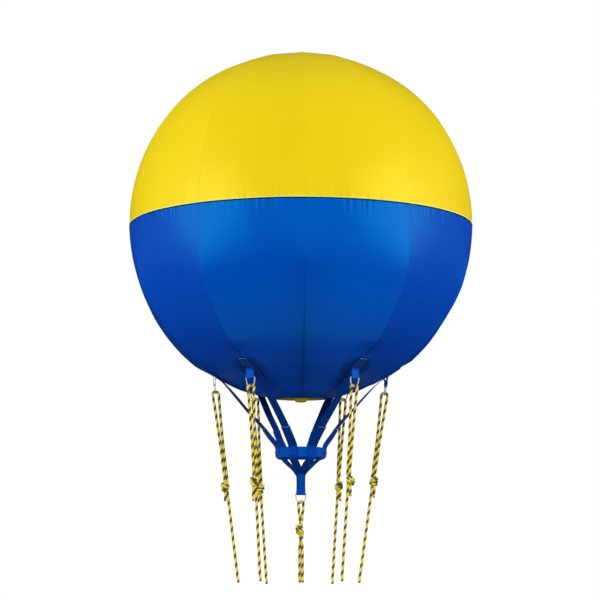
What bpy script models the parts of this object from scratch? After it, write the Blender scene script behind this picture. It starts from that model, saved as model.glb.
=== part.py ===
"""Round advertising balloon with a webbing harness and mooring ropes.

Metres, +Z up. The origin is the centre of the envelope and the front faces -Y.
An azimuth is counted in degrees from the front, positive towards +X, and a latitude from the
envelope's equator, positive upwards. Lengths along a hinged rope start at its ring's bar.
"""

import math

import bmesh
import bpy
from mathutils import Matrix, Vector

# Clearance between touching pieces
GAP = 0.0003

# Envelope: a sphere whose lower half is drawn down a little by the harness
ENVELOPE_RADIUS = 1.0
BOTTOM_DROP = 0.028
FULL_DROP_LATITUDE = 75.0
DROP_POWER = 1.6
SHELL_THICKNESS = 0.010
GORE_COUNT = 10
FACETS_PER_GORE = 4
FACETS_UP_GORE = 10
SEAM_LATITUDE = -1.0
SEAM_TAPE_HEIGHT = 0.012
SEAM_TAPE_THICKNESS = 0.0012
DISC_RADIUS = 0.145
DISC_FACETS = 3

# Inflation valve in the base disc
VALVE_NECK_RADIUS = 0.021
VALVE_NECK_HEIGHT = 0.016
VALVE_FLANGE_RADIUS = 0.035
VALVE_FLANGE_HEIGHT = 0.009
VALVE_CAP_RADIUS = 0.025
VALVE_CAP_HEIGHT = 0.0075
VALVE_FACETS = 24

# Reinforcing patches
PATCH_LATITUDE = -60.0
PATCH_RADIUS = 0.100
PATCH_THICKNESS = 0.0025
PATCH_GAP = 0.0005
PATCH_FACETS_AROUND = 24
PATCH_FACETS_OUT = 2

# Webbing
WEB_WIDTH = 0.050
WEB_THICKNESS = 0.003

# Rings of round wire, and the webbing tabs that hold them
WIRE_RADIUS = 0.003
RING_HALF_WIDTH = 0.0305
RING_DEPTH = 0.052
RING_CORNER_RADIUS = 0.006
RING_ARC_STEPS = 10
RING_PIVOT_RADIUS = 0.500
RING_PIVOT_Z = -0.942
EYE_RADIUS = WIRE_RADIUS + 0.0006
EYE_STEPS = 12
TAB_FLANGE_LENGTH = 0.014

# Harness belt and the tail loop under it
BELT_RADIUS = 0.144
BELT_TOP_Z = -1.308
BELT_BOTTOM_Z = -1.364
BELT_FACETS = 40
TAIL_PIVOT_Z = -1.574
TAIL_TOP_Z = -1.450
TAIL_NECK_Z = -1.490
TAIL_TOP_HALF_THICKNESS = 0.012
TAIL_LEG_RADIUS = 0.006
TAIL_LEG_Z = -1.459
TAIL_LEG_STEP = 0.0023

# Straps: latitudes of the sewn end, then (radius, z) down to the belt and in below it
SEWN_LATITUDES = (-55.8, -58.0, -60.0, -61.6)
STRAP_TO_BELT = ((0.443, -0.9365), (0.372, -1.015), (0.302, -1.097), (0.2175, -1.186), (0.172, -1.247))
STRAP_IN_BELT = ((0.1365, -1.303), (0.1365, -1.350), (0.128, -1.370), (0.098, -1.396), (0.062, -1.4225))

# Ropes
ROPE_RADIUS = 0.007
ROPE_END_Z = -2.082
BIGHT_RADIUS = 0.018
BIGHT_STEPS = 6
OPEN_STEPS = 4
TWISTED_STEPS = 10
TWISTED_SPACING = 0.0082
OPEN_SHARE = 0.55
TWIST_TURNS = 1.0
KNOT_RADIUS = 0.021
KNOT_HALF_HEIGHT = 0.030
KNOT_TAIL_LENGTH = 0.085
KNOT_TAIL_SPREAD = 0.016
CENTRE_KNOT_Z = -1.774
CENTRE_STRAND_X = (-0.0095, 0.0115)

# Places where a rope, its ring, tab, patch and strap join the envelope.
# Columns: name, azimuth, strap's azimuth at the belt, leg width at the tail,
# radius of the rope's lower end, height of the knot, turn of the open strands in degrees
PLACES = (
    ("front_left", -36.0, -25.0, 0.046, 0.400, -1.525, -54.0),
    ("front_right", 36.0, 30.0, 0.046, 0.378, -1.517, 54.0),
    ("side_left", -90.0, -80.0, 0.022, 0.358, -1.533, 12.0),
    ("side_right", 97.0, 84.0, 0.022, 0.338, -1.497, -12.0),
    ("back_left", -148.0, -136.0, 0.046, 0.365, -1.521, 58.0),
    ("back_right", 148.0, 154.0, 0.046, 0.361, -1.507, -58.0),
)

# Finishes: base colour, roughness, metallic
FINISHES = {
    "yellow_pvc": ((0.94, 0.76, 0.01), 0.42, 0.0),
    "blue_pvc": ((0.004, 0.12, 0.55), 0.40, 0.0),
    "navy_pvc": ((0.003, 0.045, 0.25), 0.50, 0.0),
    "blue_webbing": ((0.006, 0.06, 0.36), 0.75, 0.0),
    "steel_wire": ((0.72, 0.73, 0.75), 0.22, 1.0),
    "fleck_rope": ((0.76, 0.58, 0.05), 0.70, 0.0),
    "yellow_plastic": ((0.80, 0.62, 0.02), 0.45, 0.0),
}


def clear_scene():
    """Remove every object of the open scene."""
    for item in list(bpy.data.objects):
        bpy.data.objects.remove(item, do_unlink=True)


def new_collection(name):
    """Make a collection under the scene's own."""
    collection = bpy.data.collections.new(name)
    bpy.context.scene.collection.children.link(collection)
    return collection


def make_finish(name):
    """Make one material from the table of finishes."""
    colour, roughness, metallic = FINISHES[name]
    finish = bpy.data.materials.new(name)
    finish.use_nodes = True
    shader = finish.node_tree.nodes["Principled BSDF"]
    shader.inputs["Base Color"].default_value = (*colour, 1.0)
    shader.inputs["Roughness"].default_value = roughness
    shader.inputs["Metallic"].default_value = metallic
    finish.diffuse_color = (*colour, 1.0)
    return finish


def add_object(name, data, finish, collection, parent=None):
    """Put data in the scene as a named object with one material."""
    item = bpy.data.objects.new(name, data)
    if not data.materials:
        data.materials.append(finish)
    collection.objects.link(item)
    item.parent = parent
    return item


def add_cutter(name, data):
    """Put data in the scene as a helper that the model itself leaves out."""
    helper = bpy.data.objects.new(name, data)
    cutters.objects.link(helper)
    helper.hide_render = True
    helper.display_type = "WIRE"
    return helper


def smooth(mesh):
    """Shade a round piece smooth, apart from its real edges."""
    mesh.shade_smooth()
    mesh.set_sharp_from_angle(angle=math.radians(35.0))


def envelope_radius(latitude):
    """Give the distance from the centre to the outside of the skin."""
    share = min(1.0, max(0.0, -latitude) / FULL_DROP_LATITUDE)
    return ENVELOPE_RADIUS + BOTTOM_DROP * share**DROP_POWER


def skin_point(latitude, depth=0.0):
    """Give (radius, z) of the skin at a latitude, at a depth below the outside."""
    distance = envelope_radius(latitude) - depth
    angle = math.radians(latitude)
    return distance * math.cos(angle), distance * math.sin(angle)


def skin_normal(latitude):
    """Give the skin's outward direction at a latitude as (radius, z)."""
    below = Vector(skin_point(latitude - 0.1))
    above = Vector(skin_point(latitude + 0.1))
    along = (above - below).normalized()
    return Vector((along.y, -along.x))


def raised_point(latitude, height):
    """Give (radius, z) at a height over the skin."""
    return Vector(skin_point(latitude)) + skin_normal(latitude) * height


def disc_edge_latitude(sign):
    """Give the latitude where the skin is as wide as an end disc."""
    latitude = 80.0 * sign
    for _ in range(20):
        distance = envelope_radius(latitude)
        latitude = sign * math.degrees(math.acos((DISC_RADIUS + GAP) / distance))
    return latitude


def place_frame(azimuth, radius, z):
    """Give a frame at a place: its -Y points outwards, X along the tangent and Z up."""
    turn = Matrix.Rotation(math.radians(azimuth), 4, "Z")
    return turn @ Matrix.Translation((0.0, -radius, z))


def spread(start, end, count):
    """Give count + 1 values from start to end."""
    return [start + (end - start) * step / count for step in range(count + 1)]


def spun_mesh(name, outline, angle, steps):
    """Turn a closed outline of (radius, z) about Z through part of a circle."""
    shape = bmesh.new()
    corners = [shape.verts.new((radius, 0.0, z)) for radius, z in outline]
    shape.faces.new(corners)
    start = shape.faces[:] + shape.edges[:] + shape.verts[:]
    bmesh.ops.spin(
        shape, geom=start, cent=(0.0, 0.0, 0.0), axis=(0.0, 0.0, 1.0), angle=angle, steps=steps, use_merge=False
    )
    bmesh.ops.recalc_face_normals(shape, faces=shape.faces[:])
    mesh = bpy.data.meshes.new(name)
    shape.to_mesh(mesh)
    shape.free()
    smooth(mesh)
    return mesh


def turned_object(name, profile, closed, steps, finish):
    """Make a turned piece from a profile of (radius, z) that runs down its outer side."""
    mesh = bpy.data.meshes.new(name)
    edges = [(index, index + 1) for index in range(len(profile) - 1)]
    if closed:
        edges.append((len(profile) - 1, 0))
    mesh.from_pydata([(radius, 0.0, z) for radius, z in profile], edges, [])
    item = add_object(name, mesh, finish, balloon)
    turn = item.modifiers.new("turn", "SCREW")
    turn.angle = math.tau
    turn.steps = steps
    turn.render_steps = steps
    turn.use_merge_vertices = True
    turn.merge_threshold = 0.00002
    turn.use_smooth_shade = True
    return item


def tube_curve(name, points, radius, closed=False):
    """Make a round tube along points."""
    curve = bpy.data.curves.new(name, "CURVE")
    curve.dimensions = "3D"
    curve.bevel_depth = radius
    curve.bevel_resolution = 2
    curve.use_fill_caps = True
    spline = curve.splines.new("POLY")
    spline.points.add(len(points) - 1)
    for corner, point in zip(spline.points, points):
        corner.co = (*point, 1.0)
    spline.use_cyclic_u = closed
    return curve


def flat_curve(name, loops, half_width):
    """Make a flat plate from closed loops of (x, y), thick along its Z."""
    curve = bpy.data.curves.new(name, "CURVE")
    curve.dimensions = "2D"
    curve.fill_mode = "BOTH"
    curve.extrude = half_width
    for loop in loops:
        spline = curve.splines.new("POLY")
        spline.points.add(len(loop) - 1)
        for corner, (x, y) in zip(spline.points, loop):
            corner.co = (x, y, 0.0, 1.0)
        spline.use_cyclic_u = True
    return curve


def mesh_from_curve(curve):
    """Make a curve a welded mesh, so that it can be joined to others."""
    holder = bpy.data.objects.new(curve.name, curve)
    cutters.objects.link(holder)
    graph = bpy.context.evaluated_depsgraph_get()
    mesh = bpy.data.meshes.new_from_object(holder.evaluated_get(graph))
    bpy.data.objects.remove(holder, do_unlink=True)
    shape = bmesh.new()
    shape.from_mesh(mesh)
    bmesh.ops.remove_doubles(shape, verts=shape.verts[:], dist=0.00001)
    shape.to_mesh(mesh)
    shape.free()
    return mesh


def unite(item, helpers):
    """Join helpers to an object, as one body."""
    for helper in helpers:
        helper.parent = item.parent
        join = item.modifiers.new("join", "BOOLEAN")
        join.operation = "UNION"
        join.solver = "EXACT"
        join.object = helper


def ribbon_mesh(name, stations, thickness):
    """Loft a flat ribbon through stations of (centre, direction across, width)."""
    shape = bmesh.new()
    sections = []
    for index, (centre, across, width) in enumerate(stations):
        before = stations[max(0, index - 1)][0]
        after = stations[min(len(stations) - 1, index + 1)][0]
        along = (after - before).normalized()
        side = (across - along * across.dot(along)).normalized()
        facing = along.cross(side)
        corners = ((-1, -1), (1, -1), (1, 1), (-1, 1))
        section = [centre + side * (u * width / 2) + facing * (v * thickness / 2) for u, v in corners]
        sections.append([shape.verts.new(corner) for corner in section])
    for lower, upper in zip(sections, sections[1:]):
        for corner in range(4):
            following = (corner + 1) % 4
            shape.faces.new((lower[corner], lower[following], upper[following], upper[corner]))
    shape.faces.new(sections[0])
    shape.faces.new(sections[-1])
    bmesh.ops.recalc_face_normals(shape, faces=shape.faces[:])
    mesh = bpy.data.meshes.new(name)
    shape.to_mesh(mesh)
    shape.free()
    return mesh


def build_gores():
    """Build the yellow upper and blue lower gores."""
    gore_angle = math.tau / GORE_COUNT
    seam_gap = GAP / ENVELOPE_RADIUS
    tape_share = math.degrees(GAP / 2 / ENVELOPE_RADIUS)
    halves = (
        ("upper_gore", SEAM_LATITUDE + tape_share, disc_edge_latitude(1), "yellow_pvc"),
        ("lower_gore", disc_edge_latitude(-1), SEAM_LATITUDE - tape_share, "blue_pvc"),
    )
    for half, low, high, finish in halves:
        latitudes = spread(low, high, FACETS_UP_GORE)
        outside = [skin_point(latitude) for latitude in latitudes]
        inside = [skin_point(latitude, SHELL_THICKNESS) for latitude in reversed(latitudes)]
        mesh = spun_mesh(half, outside + inside, gore_angle - seam_gap, FACETS_PER_GORE)
        for number in range(GORE_COUNT):
            gore = add_object(f"{half}_{number + 1:02d}", mesh, finishes[finish], balloon)
            gore.rotation_euler.z = -math.pi / 2 + number * gore_angle + seam_gap / 2


def build_seam_tape():
    """Build the narrow tape that covers the seam between the two colours."""
    inside = ENVELOPE_RADIUS + GAP
    outside = inside + SEAM_TAPE_THICKNESS
    middle = skin_point(SEAM_LATITUDE)[1]
    top = middle + SEAM_TAPE_HEIGHT / 2
    bottom = middle - SEAM_TAPE_HEIGHT / 2
    profile = [(outside, top), (outside, bottom), (inside, bottom), (inside, top)]
    turned_object("seam_tape", profile, True, GORE_COUNT * FACETS_PER_GORE, finishes["blue_pvc"])


def disc_profile(sign, inner_radius):
    """Give the outside and inside lines of an end disc, both from the middle out."""
    edge = skin_point(disc_edge_latitude(sign))[1]
    distance = math.hypot(DISC_RADIUS, edge)
    radii = spread(inner_radius, DISC_RADIUS, DISC_FACETS)
    outside = [(radius, sign * math.sqrt(distance**2 - radius**2)) for radius in radii]
    inner_share = 1.0 - SHELL_THICKNESS / distance
    inside = [(radius * inner_share, z * inner_share) for radius, z in outside]
    return outside, inside


def build_end_discs():
    """Build the crown disc, and the base disc with a hole for the valve."""
    steps = GORE_COUNT * FACETS_PER_GORE
    outside, inside = disc_profile(1, 0.0)
    turned_object("crown_disc", outside + inside[::-1], False, steps, finishes["yellow_pvc"])
    outside, inside = disc_profile(-1, VALVE_NECK_RADIUS * 1.03)
    turned_object("base_disc", inside + outside[::-1], True, steps, finishes["yellow_pvc"])


def build_valve():
    """Build the inflation valve under the base disc, and its cap."""
    top = -math.hypot(DISC_RADIUS, skin_point(disc_edge_latitude(-1))[1]) - GAP
    flange_bottom = top - VALVE_FLANGE_HEIGHT
    body = [
        (0.0, top + VALVE_NECK_HEIGHT),
        (VALVE_NECK_RADIUS, top + VALVE_NECK_HEIGHT),
        (VALVE_NECK_RADIUS, top),
        (VALVE_FLANGE_RADIUS, top),
        (VALVE_FLANGE_RADIUS, flange_bottom + VALVE_FLANGE_HEIGHT / 3),
        (VALVE_FLANGE_RADIUS * 0.9, flange_bottom),
        (0.0, flange_bottom),
    ]
    turned_object("inflation_valve", body, False, VALVE_FACETS, finishes["yellow_plastic"])
    cap_top = flange_bottom - GAP
    cap_bottom = cap_top - VALVE_CAP_HEIGHT
    cap = [
        (0.0, cap_top),
        (VALVE_CAP_RADIUS, cap_top),
        (VALVE_CAP_RADIUS, cap_bottom + VALVE_CAP_HEIGHT / 3),
        (VALVE_CAP_RADIUS * 0.88, cap_bottom),
        (0.0, cap_bottom),
    ]
    turned_object("valve_cap", cap, False, VALVE_FACETS, finishes["yellow_plastic"])


def build_patch(name, azimuth):
    """Build a round doubler on the skin, as a shallow bowl turned about the skin's normal."""
    bowl = envelope_radius(PATCH_LATITUDE) + PATCH_GAP
    reach = math.asin(PATCH_RADIUS / bowl)
    angles = spread(0.0, reach, PATCH_FACETS_OUT)
    outer = bowl + PATCH_THICKNESS
    outside = [(outer * math.sin(angle), outer * math.cos(angle)) for angle in angles]
    inside = [(bowl * math.sin(angle), bowl * math.cos(angle)) for angle in reversed(angles)]
    patch = turned_object(f"patch_{name}", outside + inside, False, PATCH_FACETS_AROUND, finishes["navy_pvc"])
    radius, z = raised_point(PATCH_LATITUDE, PATCH_GAP - bowl)
    normal = skin_normal(PATCH_LATITUDE)
    tilt = Matrix.Rotation(math.atan2(normal.x, normal.y), 4, "X")
    patch.matrix_world = place_frame(azimuth, radius, z) @ tilt


def strap_line():
    """Give (radius, z) down a strap's middle, and the share of its run to the belt."""
    height = PATCH_GAP + PATCH_THICKNESS + GAP + WEB_THICKNESS / 2
    sewn = [tuple(raised_point(latitude, height)) for latitude in SEWN_LATITUDES]
    turning = [0.0] * len(sewn)
    start, end = sewn[-1][0], STRAP_IN_BELT[0][0]
    turning += [(start - radius) / (start - end) for radius, _ in STRAP_TO_BELT]
    turning += [1.0] * len(STRAP_IN_BELT)
    return list(zip(sewn + list(STRAP_TO_BELT) + list(STRAP_IN_BELT), turning))


def station(azimuth, radius, z, width):
    """Give a ribbon's station at a place: its centre, its direction across and its width."""
    frame = place_frame(azimuth, radius, z)
    return frame.translation.copy(), frame.to_3x3() @ Vector((1.0, 0.0, 0.0)), width


def build_strap(name, azimuth, belt_azimuth):
    """Build one harness strap, from its patch through the belt."""
    stations = []
    for (radius, z), share in strap_line():
        stations.append(station(azimuth + (belt_azimuth - azimuth) * share, radius, z, WEB_WIDTH))
    mesh = ribbon_mesh(f"strap_{name}", stations, WEB_THICKNESS)
    add_object(f"strap_{name}", mesh, finishes["blue_webbing"], balloon)


def build_belt():
    """Build the belt, a band of webbing round the six straps."""
    inside = BELT_RADIUS - WEB_THICKNESS
    profile = [
        (BELT_RADIUS, BELT_TOP_Z),
        (BELT_RADIUS, BELT_BOTTOM_Z),
        (inside, BELT_BOTTOM_Z),
        (inside, BELT_TOP_Z),
    ]
    turned_object("belt", profile, True, BELT_FACETS, finishes["blue_webbing"])


def eye_loop():
    """Give the round hole that a ring's bar turns in."""
    angles = [math.tau * step / EYE_STEPS for step in range(EYE_STEPS)]
    return [(EYE_RADIUS * math.cos(angle), EYE_RADIUS * math.sin(angle)) for angle in angles]


def loop_end(radius, half_thickness, steps=8):
    """Give the round lower end of a webbing loop, from its right side to its left."""
    right = math.acos(half_thickness / radius)
    angles = spread(right, -math.pi - right, steps)
    return [(radius * math.cos(angle), radius * math.sin(angle)) for angle in angles]


def build_tab(name, azimuth):
    """Build the webbing tab that hangs from a strap's sewn end and holds the ring."""
    height = PATCH_GAP + PATCH_THICKNESS + GAP + WEB_THICKNESS + GAP
    root = raised_point(PATCH_LATITUDE, height)
    normal = skin_normal(PATCH_LATITUDE)
    along = Vector((-normal.y, normal.x))

    def on_strap(distance_out, depth):
        """Give a point under the strap's face, as (out, up) from the bar."""
        run = (RING_PIVOT_RADIUS + distance_out - root.x) / along.x
        point = root + along * run + normal * depth
        return point.x - RING_PIVOT_RADIUS, point.y - RING_PIVOT_Z

    outline = loop_end(EYE_RADIUS + WEB_THICKNESS, WEB_THICKNESS)
    outline += [
        on_strap(-WEB_THICKNESS, 0.0),
        on_strap(TAB_FLANGE_LENGTH, 0.0),
        on_strap(TAB_FLANGE_LENGTH, WEB_THICKNESS),
        on_strap(WEB_THICKNESS * 1.4, WEB_THICKNESS),
    ]
    curve = flat_curve(f"tab_{name}", [outline, eye_loop()], WEB_WIDTH / 2)
    tab = add_object(f"tab_{name}", curve, finishes["blue_webbing"], balloon)
    upright = Matrix(((0, 0, -1, 0), (-1, 0, 0, 0), (0, 1, 0, 0), (0, 0, 0, 1)))
    tab.matrix_world = place_frame(azimuth, RING_PIVOT_RADIUS, RING_PIVOT_Z) @ upright


def ring_line():
    """Give the wire's middle line as (x, z) from the bar: the bar, two sides and an arc."""
    points = []
    inset = RING_HALF_WIDTH - RING_CORNER_RADIUS
    for angle in spread(90.0, 0.0, 3):
        turn = math.radians(angle)
        x = inset + RING_CORNER_RADIUS * math.cos(turn)
        z = RING_CORNER_RADIUS * (math.sin(turn) - 1.0)
        points.append((x, z))
    arc_top = RING_HALF_WIDTH - RING_DEPTH
    for angle in spread(0.0, -180.0, RING_ARC_STEPS):
        turn = math.radians(angle)
        points.append((RING_HALF_WIDTH * math.cos(turn), arc_top + RING_HALF_WIDTH * math.sin(turn)))
    left_corner = [(-x, z) for x, z in reversed(points[:4])]
    return points + left_corner


def build_ring(name, pivot):
    """Build a ring of bent wire whose bar lies on its pivot."""
    points = [(x, 0.0, z) for x, z in ring_line()]
    curve = tube_curve(name, points, WIRE_RADIUS, closed=True)
    add_object(name, curve, finishes["steel_wire"], balloon, pivot)


def strand_point(open_share, twisted_share, depths, open_turn):
    """Give a point of one strand, on its way open from the ring and then twisted to the knot."""
    bight_depth, open_end, knot_depth = depths
    spacing = BIGHT_RADIUS + (TWISTED_SPACING - BIGHT_RADIUS) * open_share
    turn = math.radians(90.0 + open_turn * open_share + 360.0 * TWIST_TURNS * twisted_share)
    depth = bight_depth + (open_end - bight_depth) * open_share + (knot_depth - open_end) * twisted_share
    return Vector((spacing * math.cos(turn), spacing * math.sin(turn), -depth))


def rope_loop(knot_depth, open_turn):
    """Give the rope's line from the knot up through the ring and back to the knot."""
    bight_depth = RING_DEPTH - WIRE_RADIUS - GAP - ROPE_RADIUS + BIGHT_RADIUS
    depths = bight_depth, bight_depth + (knot_depth - bight_depth) * OPEN_SHARE, knot_depth
    falling = [strand_point(share, 0.0, depths, open_turn) for share in spread(0.0, 1.0, OPEN_STEPS)]
    falling += [strand_point(1.0, share, depths, open_turn) for share in spread(0.0, 1.0, TWISTED_STEPS)[1:]]
    rising = [Vector((-point.x, -point.y, point.z)) for point in reversed(falling)]
    angles = spread(math.pi, 0.0, BIGHT_STEPS)[1:-1]
    bight = [(0.0, BIGHT_RADIUS * math.cos(a), BIGHT_RADIUS * math.sin(a) - bight_depth) for a in angles]
    return rising + bight + falling


def knot_mesh(name, depth):
    """Make the lump of a knot at a depth below the bar."""
    shape = bmesh.new()
    bmesh.ops.create_uvsphere(shape, u_segments=10, v_segments=7, radius=1.0)
    bmesh.ops.scale(shape, vec=(KNOT_RADIUS, KNOT_RADIUS, KNOT_HALF_HEIGHT), verts=shape.verts[:])
    bmesh.ops.translate(shape, vec=(0.0, 0.0, -depth), verts=shape.verts[:])
    mesh = bpy.data.meshes.new(name)
    shape.to_mesh(mesh)
    shape.free()
    smooth(mesh)
    return mesh


def build_rope(name, pivot, knot_depth, open_turn, lines):
    """Build a rope: its loop, its knot, and the straight lines below the knot."""
    loop = mesh_from_curve(tube_curve(name, rope_loop(knot_depth, open_turn), ROPE_RADIUS))
    smooth(loop)
    rope = add_object(name, loop, finishes["fleck_rope"], balloon, pivot)
    helpers = [add_cutter(f"{name}_knot", knot_mesh(f"{name}_knot", knot_depth))]
    for number, line in enumerate(lines, 1):
        curve = tube_curve(f"{name}_line_{number}", line, ROPE_RADIUS)
        helpers.append(add_cutter(curve.name, mesh_from_curve(curve)))
    unite(rope, helpers)


def build_tether(name, azimuth, end_radius, knot_z, open_turn):
    """Build one mooring rope and its ring, hinged together on the tab's eye."""
    drop = RING_PIVOT_Z - ROPE_END_Z
    lean = math.atan2(RING_PIVOT_RADIUS - end_radius, drop)
    length = drop / math.cos(lean)
    knot_depth = (RING_PIVOT_Z - knot_z) / math.cos(lean)
    pivot = bpy.data.objects.new(f"pivot_{name}", None)
    balloon.objects.link(pivot)
    pivot.matrix_world = place_frame(azimuth, RING_PIVOT_RADIUS, RING_PIVOT_Z) @ Matrix.Rotation(lean, 4, "X")
    build_ring(f"ring_{name}", pivot)
    main_line = [(0.0, 0.0, -knot_depth), (0.0, 0.0, -length)]
    tail_end = (-KNOT_TAIL_SPREAD, -KNOT_TAIL_SPREAD / 2, -knot_depth - KNOT_TAIL_LENGTH)
    tail = [(0.0, 0.0, -knot_depth), tail_end]
    build_rope(f"rope_{name}", pivot, knot_depth, open_turn, [main_line, tail])


def build_centre_tether():
    """Build the centre ring and its rope, hinged on the tail loop."""
    pivot = bpy.data.objects.new("pivot_centre", None)
    balloon.objects.link(pivot)
    pivot.matrix_world = Matrix.Translation((0.0, 0.0, TAIL_PIVOT_Z))
    build_ring("ring_centre", pivot)
    knot_depth = TAIL_PIVOT_Z - CENTRE_KNOT_Z
    length = TAIL_PIVOT_Z - ROPE_END_Z
    lines = []
    for x in CENTRE_STRAND_X:
        lines.append([(x * 0.6, 0.0, -knot_depth), (x, 0.0, -knot_depth - KNOT_TAIL_LENGTH), (x, 0.0, -length)])
    build_rope("rope_centre", pivot, knot_depth, 90.0, lines)


def build_tail():
    """Build the sewn gather under the belt: six short legs and the loop for the centre ring."""
    neck = TAIL_NECK_Z - TAIL_PIVOT_Z
    top = TAIL_TOP_Z - TAIL_PIVOT_Z
    outline = loop_end(EYE_RADIUS + WEB_THICKNESS, WEB_THICKNESS)
    outline += [
        (-WEB_THICKNESS, neck * 0.45),
        (-TAIL_TOP_HALF_THICKNESS * 0.8, neck),
        (-TAIL_TOP_HALF_THICKNESS, top),
        (TAIL_TOP_HALF_THICKNESS, top),
        (TAIL_TOP_HALF_THICKNESS * 0.8, neck),
        (WEB_THICKNESS, neck * 0.45),
    ]
    curve = flat_curve("tail_loop", [outline, eye_loop()], WEB_WIDTH / 2)
    mesh = mesh_from_curve(curve)
    upright = Matrix(((0, 0, -1, 0), (-1, 0, 0, 0), (0, 1, 0, 0), (0, 0, 0, 1)))
    mesh.transform(Matrix.Translation((0.0, 0.0, TAIL_PIVOT_Z)) @ upright)
    tail = add_object("tail_loop", mesh, finishes["blue_webbing"], balloon)
    line = [point for point, _ in strap_line()]
    last, before = Vector(line[-1]), Vector(line[-2])
    start = last + (last - before).normalized() * GAP
    legs = []
    for number, (name, _, belt_azimuth, leg_width, *_) in enumerate(PLACES):
        stations = [
            station(belt_azimuth, start.x, start.y, WEB_WIDTH),
            station(belt_azimuth, TAIL_LEG_RADIUS, TAIL_LEG_Z - number * TAIL_LEG_STEP, leg_width),
        ]
        mesh = ribbon_mesh(f"leg_{name}", stations, WEB_THICKNESS)
        legs.append(add_cutter(mesh.name, mesh))
    unite(tail, legs)


clear_scene()
balloon = new_collection("sky_balloon")
cutters = new_collection("cutters")
finishes = {name: make_finish(name) for name in FINISHES}
build_gores()
build_seam_tape()
build_end_discs()
build_valve()
build_belt()
build_tail()
for place, place_azimuth, belt_side, _, rope_end, knot_height, strand_turn in PLACES:
    build_patch(place, place_azimuth)
    build_strap(place, place_azimuth, belt_side)
    build_tab(place, place_azimuth)
    build_tether(place, place_azimuth, rope_end, knot_height, strand_turn)
build_centre_tether()
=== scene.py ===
"""Dressed model of a round advertising balloon, its webbing harness and its mooring ropes.

Metres, +Z up, the envelope's centre at the origin and its front towards -Y. An azimuth is counted in
degrees from the front, positive towards +X, and a latitude from the envelope's equator.
"""

import logging
import math
from dataclasses import dataclass
from enum import Enum

import bmesh
import bpy
import numpy as np
from mathutils import Matrix, Vector


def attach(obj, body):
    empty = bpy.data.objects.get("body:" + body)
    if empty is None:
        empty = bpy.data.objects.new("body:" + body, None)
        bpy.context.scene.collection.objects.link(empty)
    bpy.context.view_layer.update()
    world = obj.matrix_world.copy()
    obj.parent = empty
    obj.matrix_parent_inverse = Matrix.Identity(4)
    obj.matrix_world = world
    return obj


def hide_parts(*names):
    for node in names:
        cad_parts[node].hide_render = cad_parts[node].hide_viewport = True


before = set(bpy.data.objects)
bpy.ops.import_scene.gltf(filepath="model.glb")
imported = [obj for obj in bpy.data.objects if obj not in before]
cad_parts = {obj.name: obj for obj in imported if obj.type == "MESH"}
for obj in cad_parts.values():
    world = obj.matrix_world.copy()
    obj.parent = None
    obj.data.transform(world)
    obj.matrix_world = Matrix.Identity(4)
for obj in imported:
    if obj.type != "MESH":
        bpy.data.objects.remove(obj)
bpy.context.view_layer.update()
log = logging.getLogger("balloon")

Array = np.ndarray
Item = bpy.types.Object
Material = bpy.types.Material
Socket = bpy.types.NodeSocket
Triple = tuple[float, float, float]


class Slot(Enum):
    """The record's material slots."""

    YELLOW_FABRIC = "yellow_pvc"
    BLUE_FABRIC = "blue_pvc"
    NAVY_FABRIC = "navy_pvc"
    WEBBING = "blue_webbing"
    WIRE = "steel_wire"
    ROPE = "fleck_rope"
    PLASTIC = "yellow_plastic"


class Half(Enum):
    """The envelope's two halves, with the side of the middle seam that each lies on."""

    UPPER = 1
    LOWER = -1

    @property
    def colour(self) -> str:
        """Give its colour's name in the names of looks."""
        return "yellow" if self is Half.UPPER else "blue"

    @property
    def slot(self) -> Slot:
        """Give its fabric's slot."""
        return Slot.YELLOW_FABRIC if self is Half.UPPER else Slot.BLUE_FABRIC


@dataclass(frozen=True)
class Place:
    """One place on the envelope where a patch, strap, tab, ring and rope meet.

    Sizes are in metres and angles in degrees, as in the part's own source.
    """

    name: str
    azimuth: float
    belt_azimuth: float
    rope_end_radius: float
    knot_z: float
    open_turn: float
    tail_layer: float
    leads: tuple[float, float, float, float]

    def lead(self, radius: float) -> float:
        """Give the strap's azimuth where it passes a distance from the axis.

        Args:
            radius: The distance.

        Returns:
            The azimuth in degrees.
        """
        under, *over = self.leads
        reaches = (0.10, 0.138, 0.148, 0.213, 0.29, 0.41, 0.55)
        turns = (under, self.belt_azimuth, self.belt_azimuth, *over, self.azimuth)
        return float(np.interp(radius, reaches, turns))

    def lateral(self) -> bool:
        """Tell whether the place is at a side, where the strap is seen edge on."""
        return 60.0 < abs(self.azimuth) < 120.0


PLACES = (
    Place("front_left", -36.0, -21.0, 0.400, -1.525, -54.0, -2.5, (-20.0, -26.0, -28.3, -32.5)),
    Place("front_right", 36.0, 27.0, 0.378, -1.517, 54.0, -1.5, (21.0, 32.5, 34.3, 36.5)),
    Place("side_left", -90.0, -76.0, 0.358, -1.533, 12.0, -0.5, (-76.0, -84.0, -88.0, -90.0)),
    Place("side_right", 97.0, 76.0, 0.338, -1.497, -12.0, 0.5, (76.0, 84.0, 92.0, 96.0)),
    Place("back_left", -148.0, -137.0, 0.365, -1.521, 58.0, 1.5, (-137.0, -141.0, -143.5, -146.5)),
    Place("back_right", 148.0, 156.0, 0.361, -1.507, -58.0, 2.5, (156.0, 155.5, 155.0, 153.5)),
)

PATCH_LATITUDE = -60.0
RING_PIVOT_RADIUS = 0.500
RING_PIVOT_Z = -0.942
TAIL_PIVOT_Z = -1.574
CENTRE_KNOT_Z = -1.774
ROPE_END_Z = -2.082
WEB_WIDTH = 0.050
WIRE_RADIUS = 0.003
FIXED_BODY = "balloon"
WELD_DISTANCE = 0.000002


def smoothed(share: Array) -> Array:
    """Ease a share from 0 to 1 in and out."""
    return share * share * (3.0 - 2.0 * share)


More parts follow.
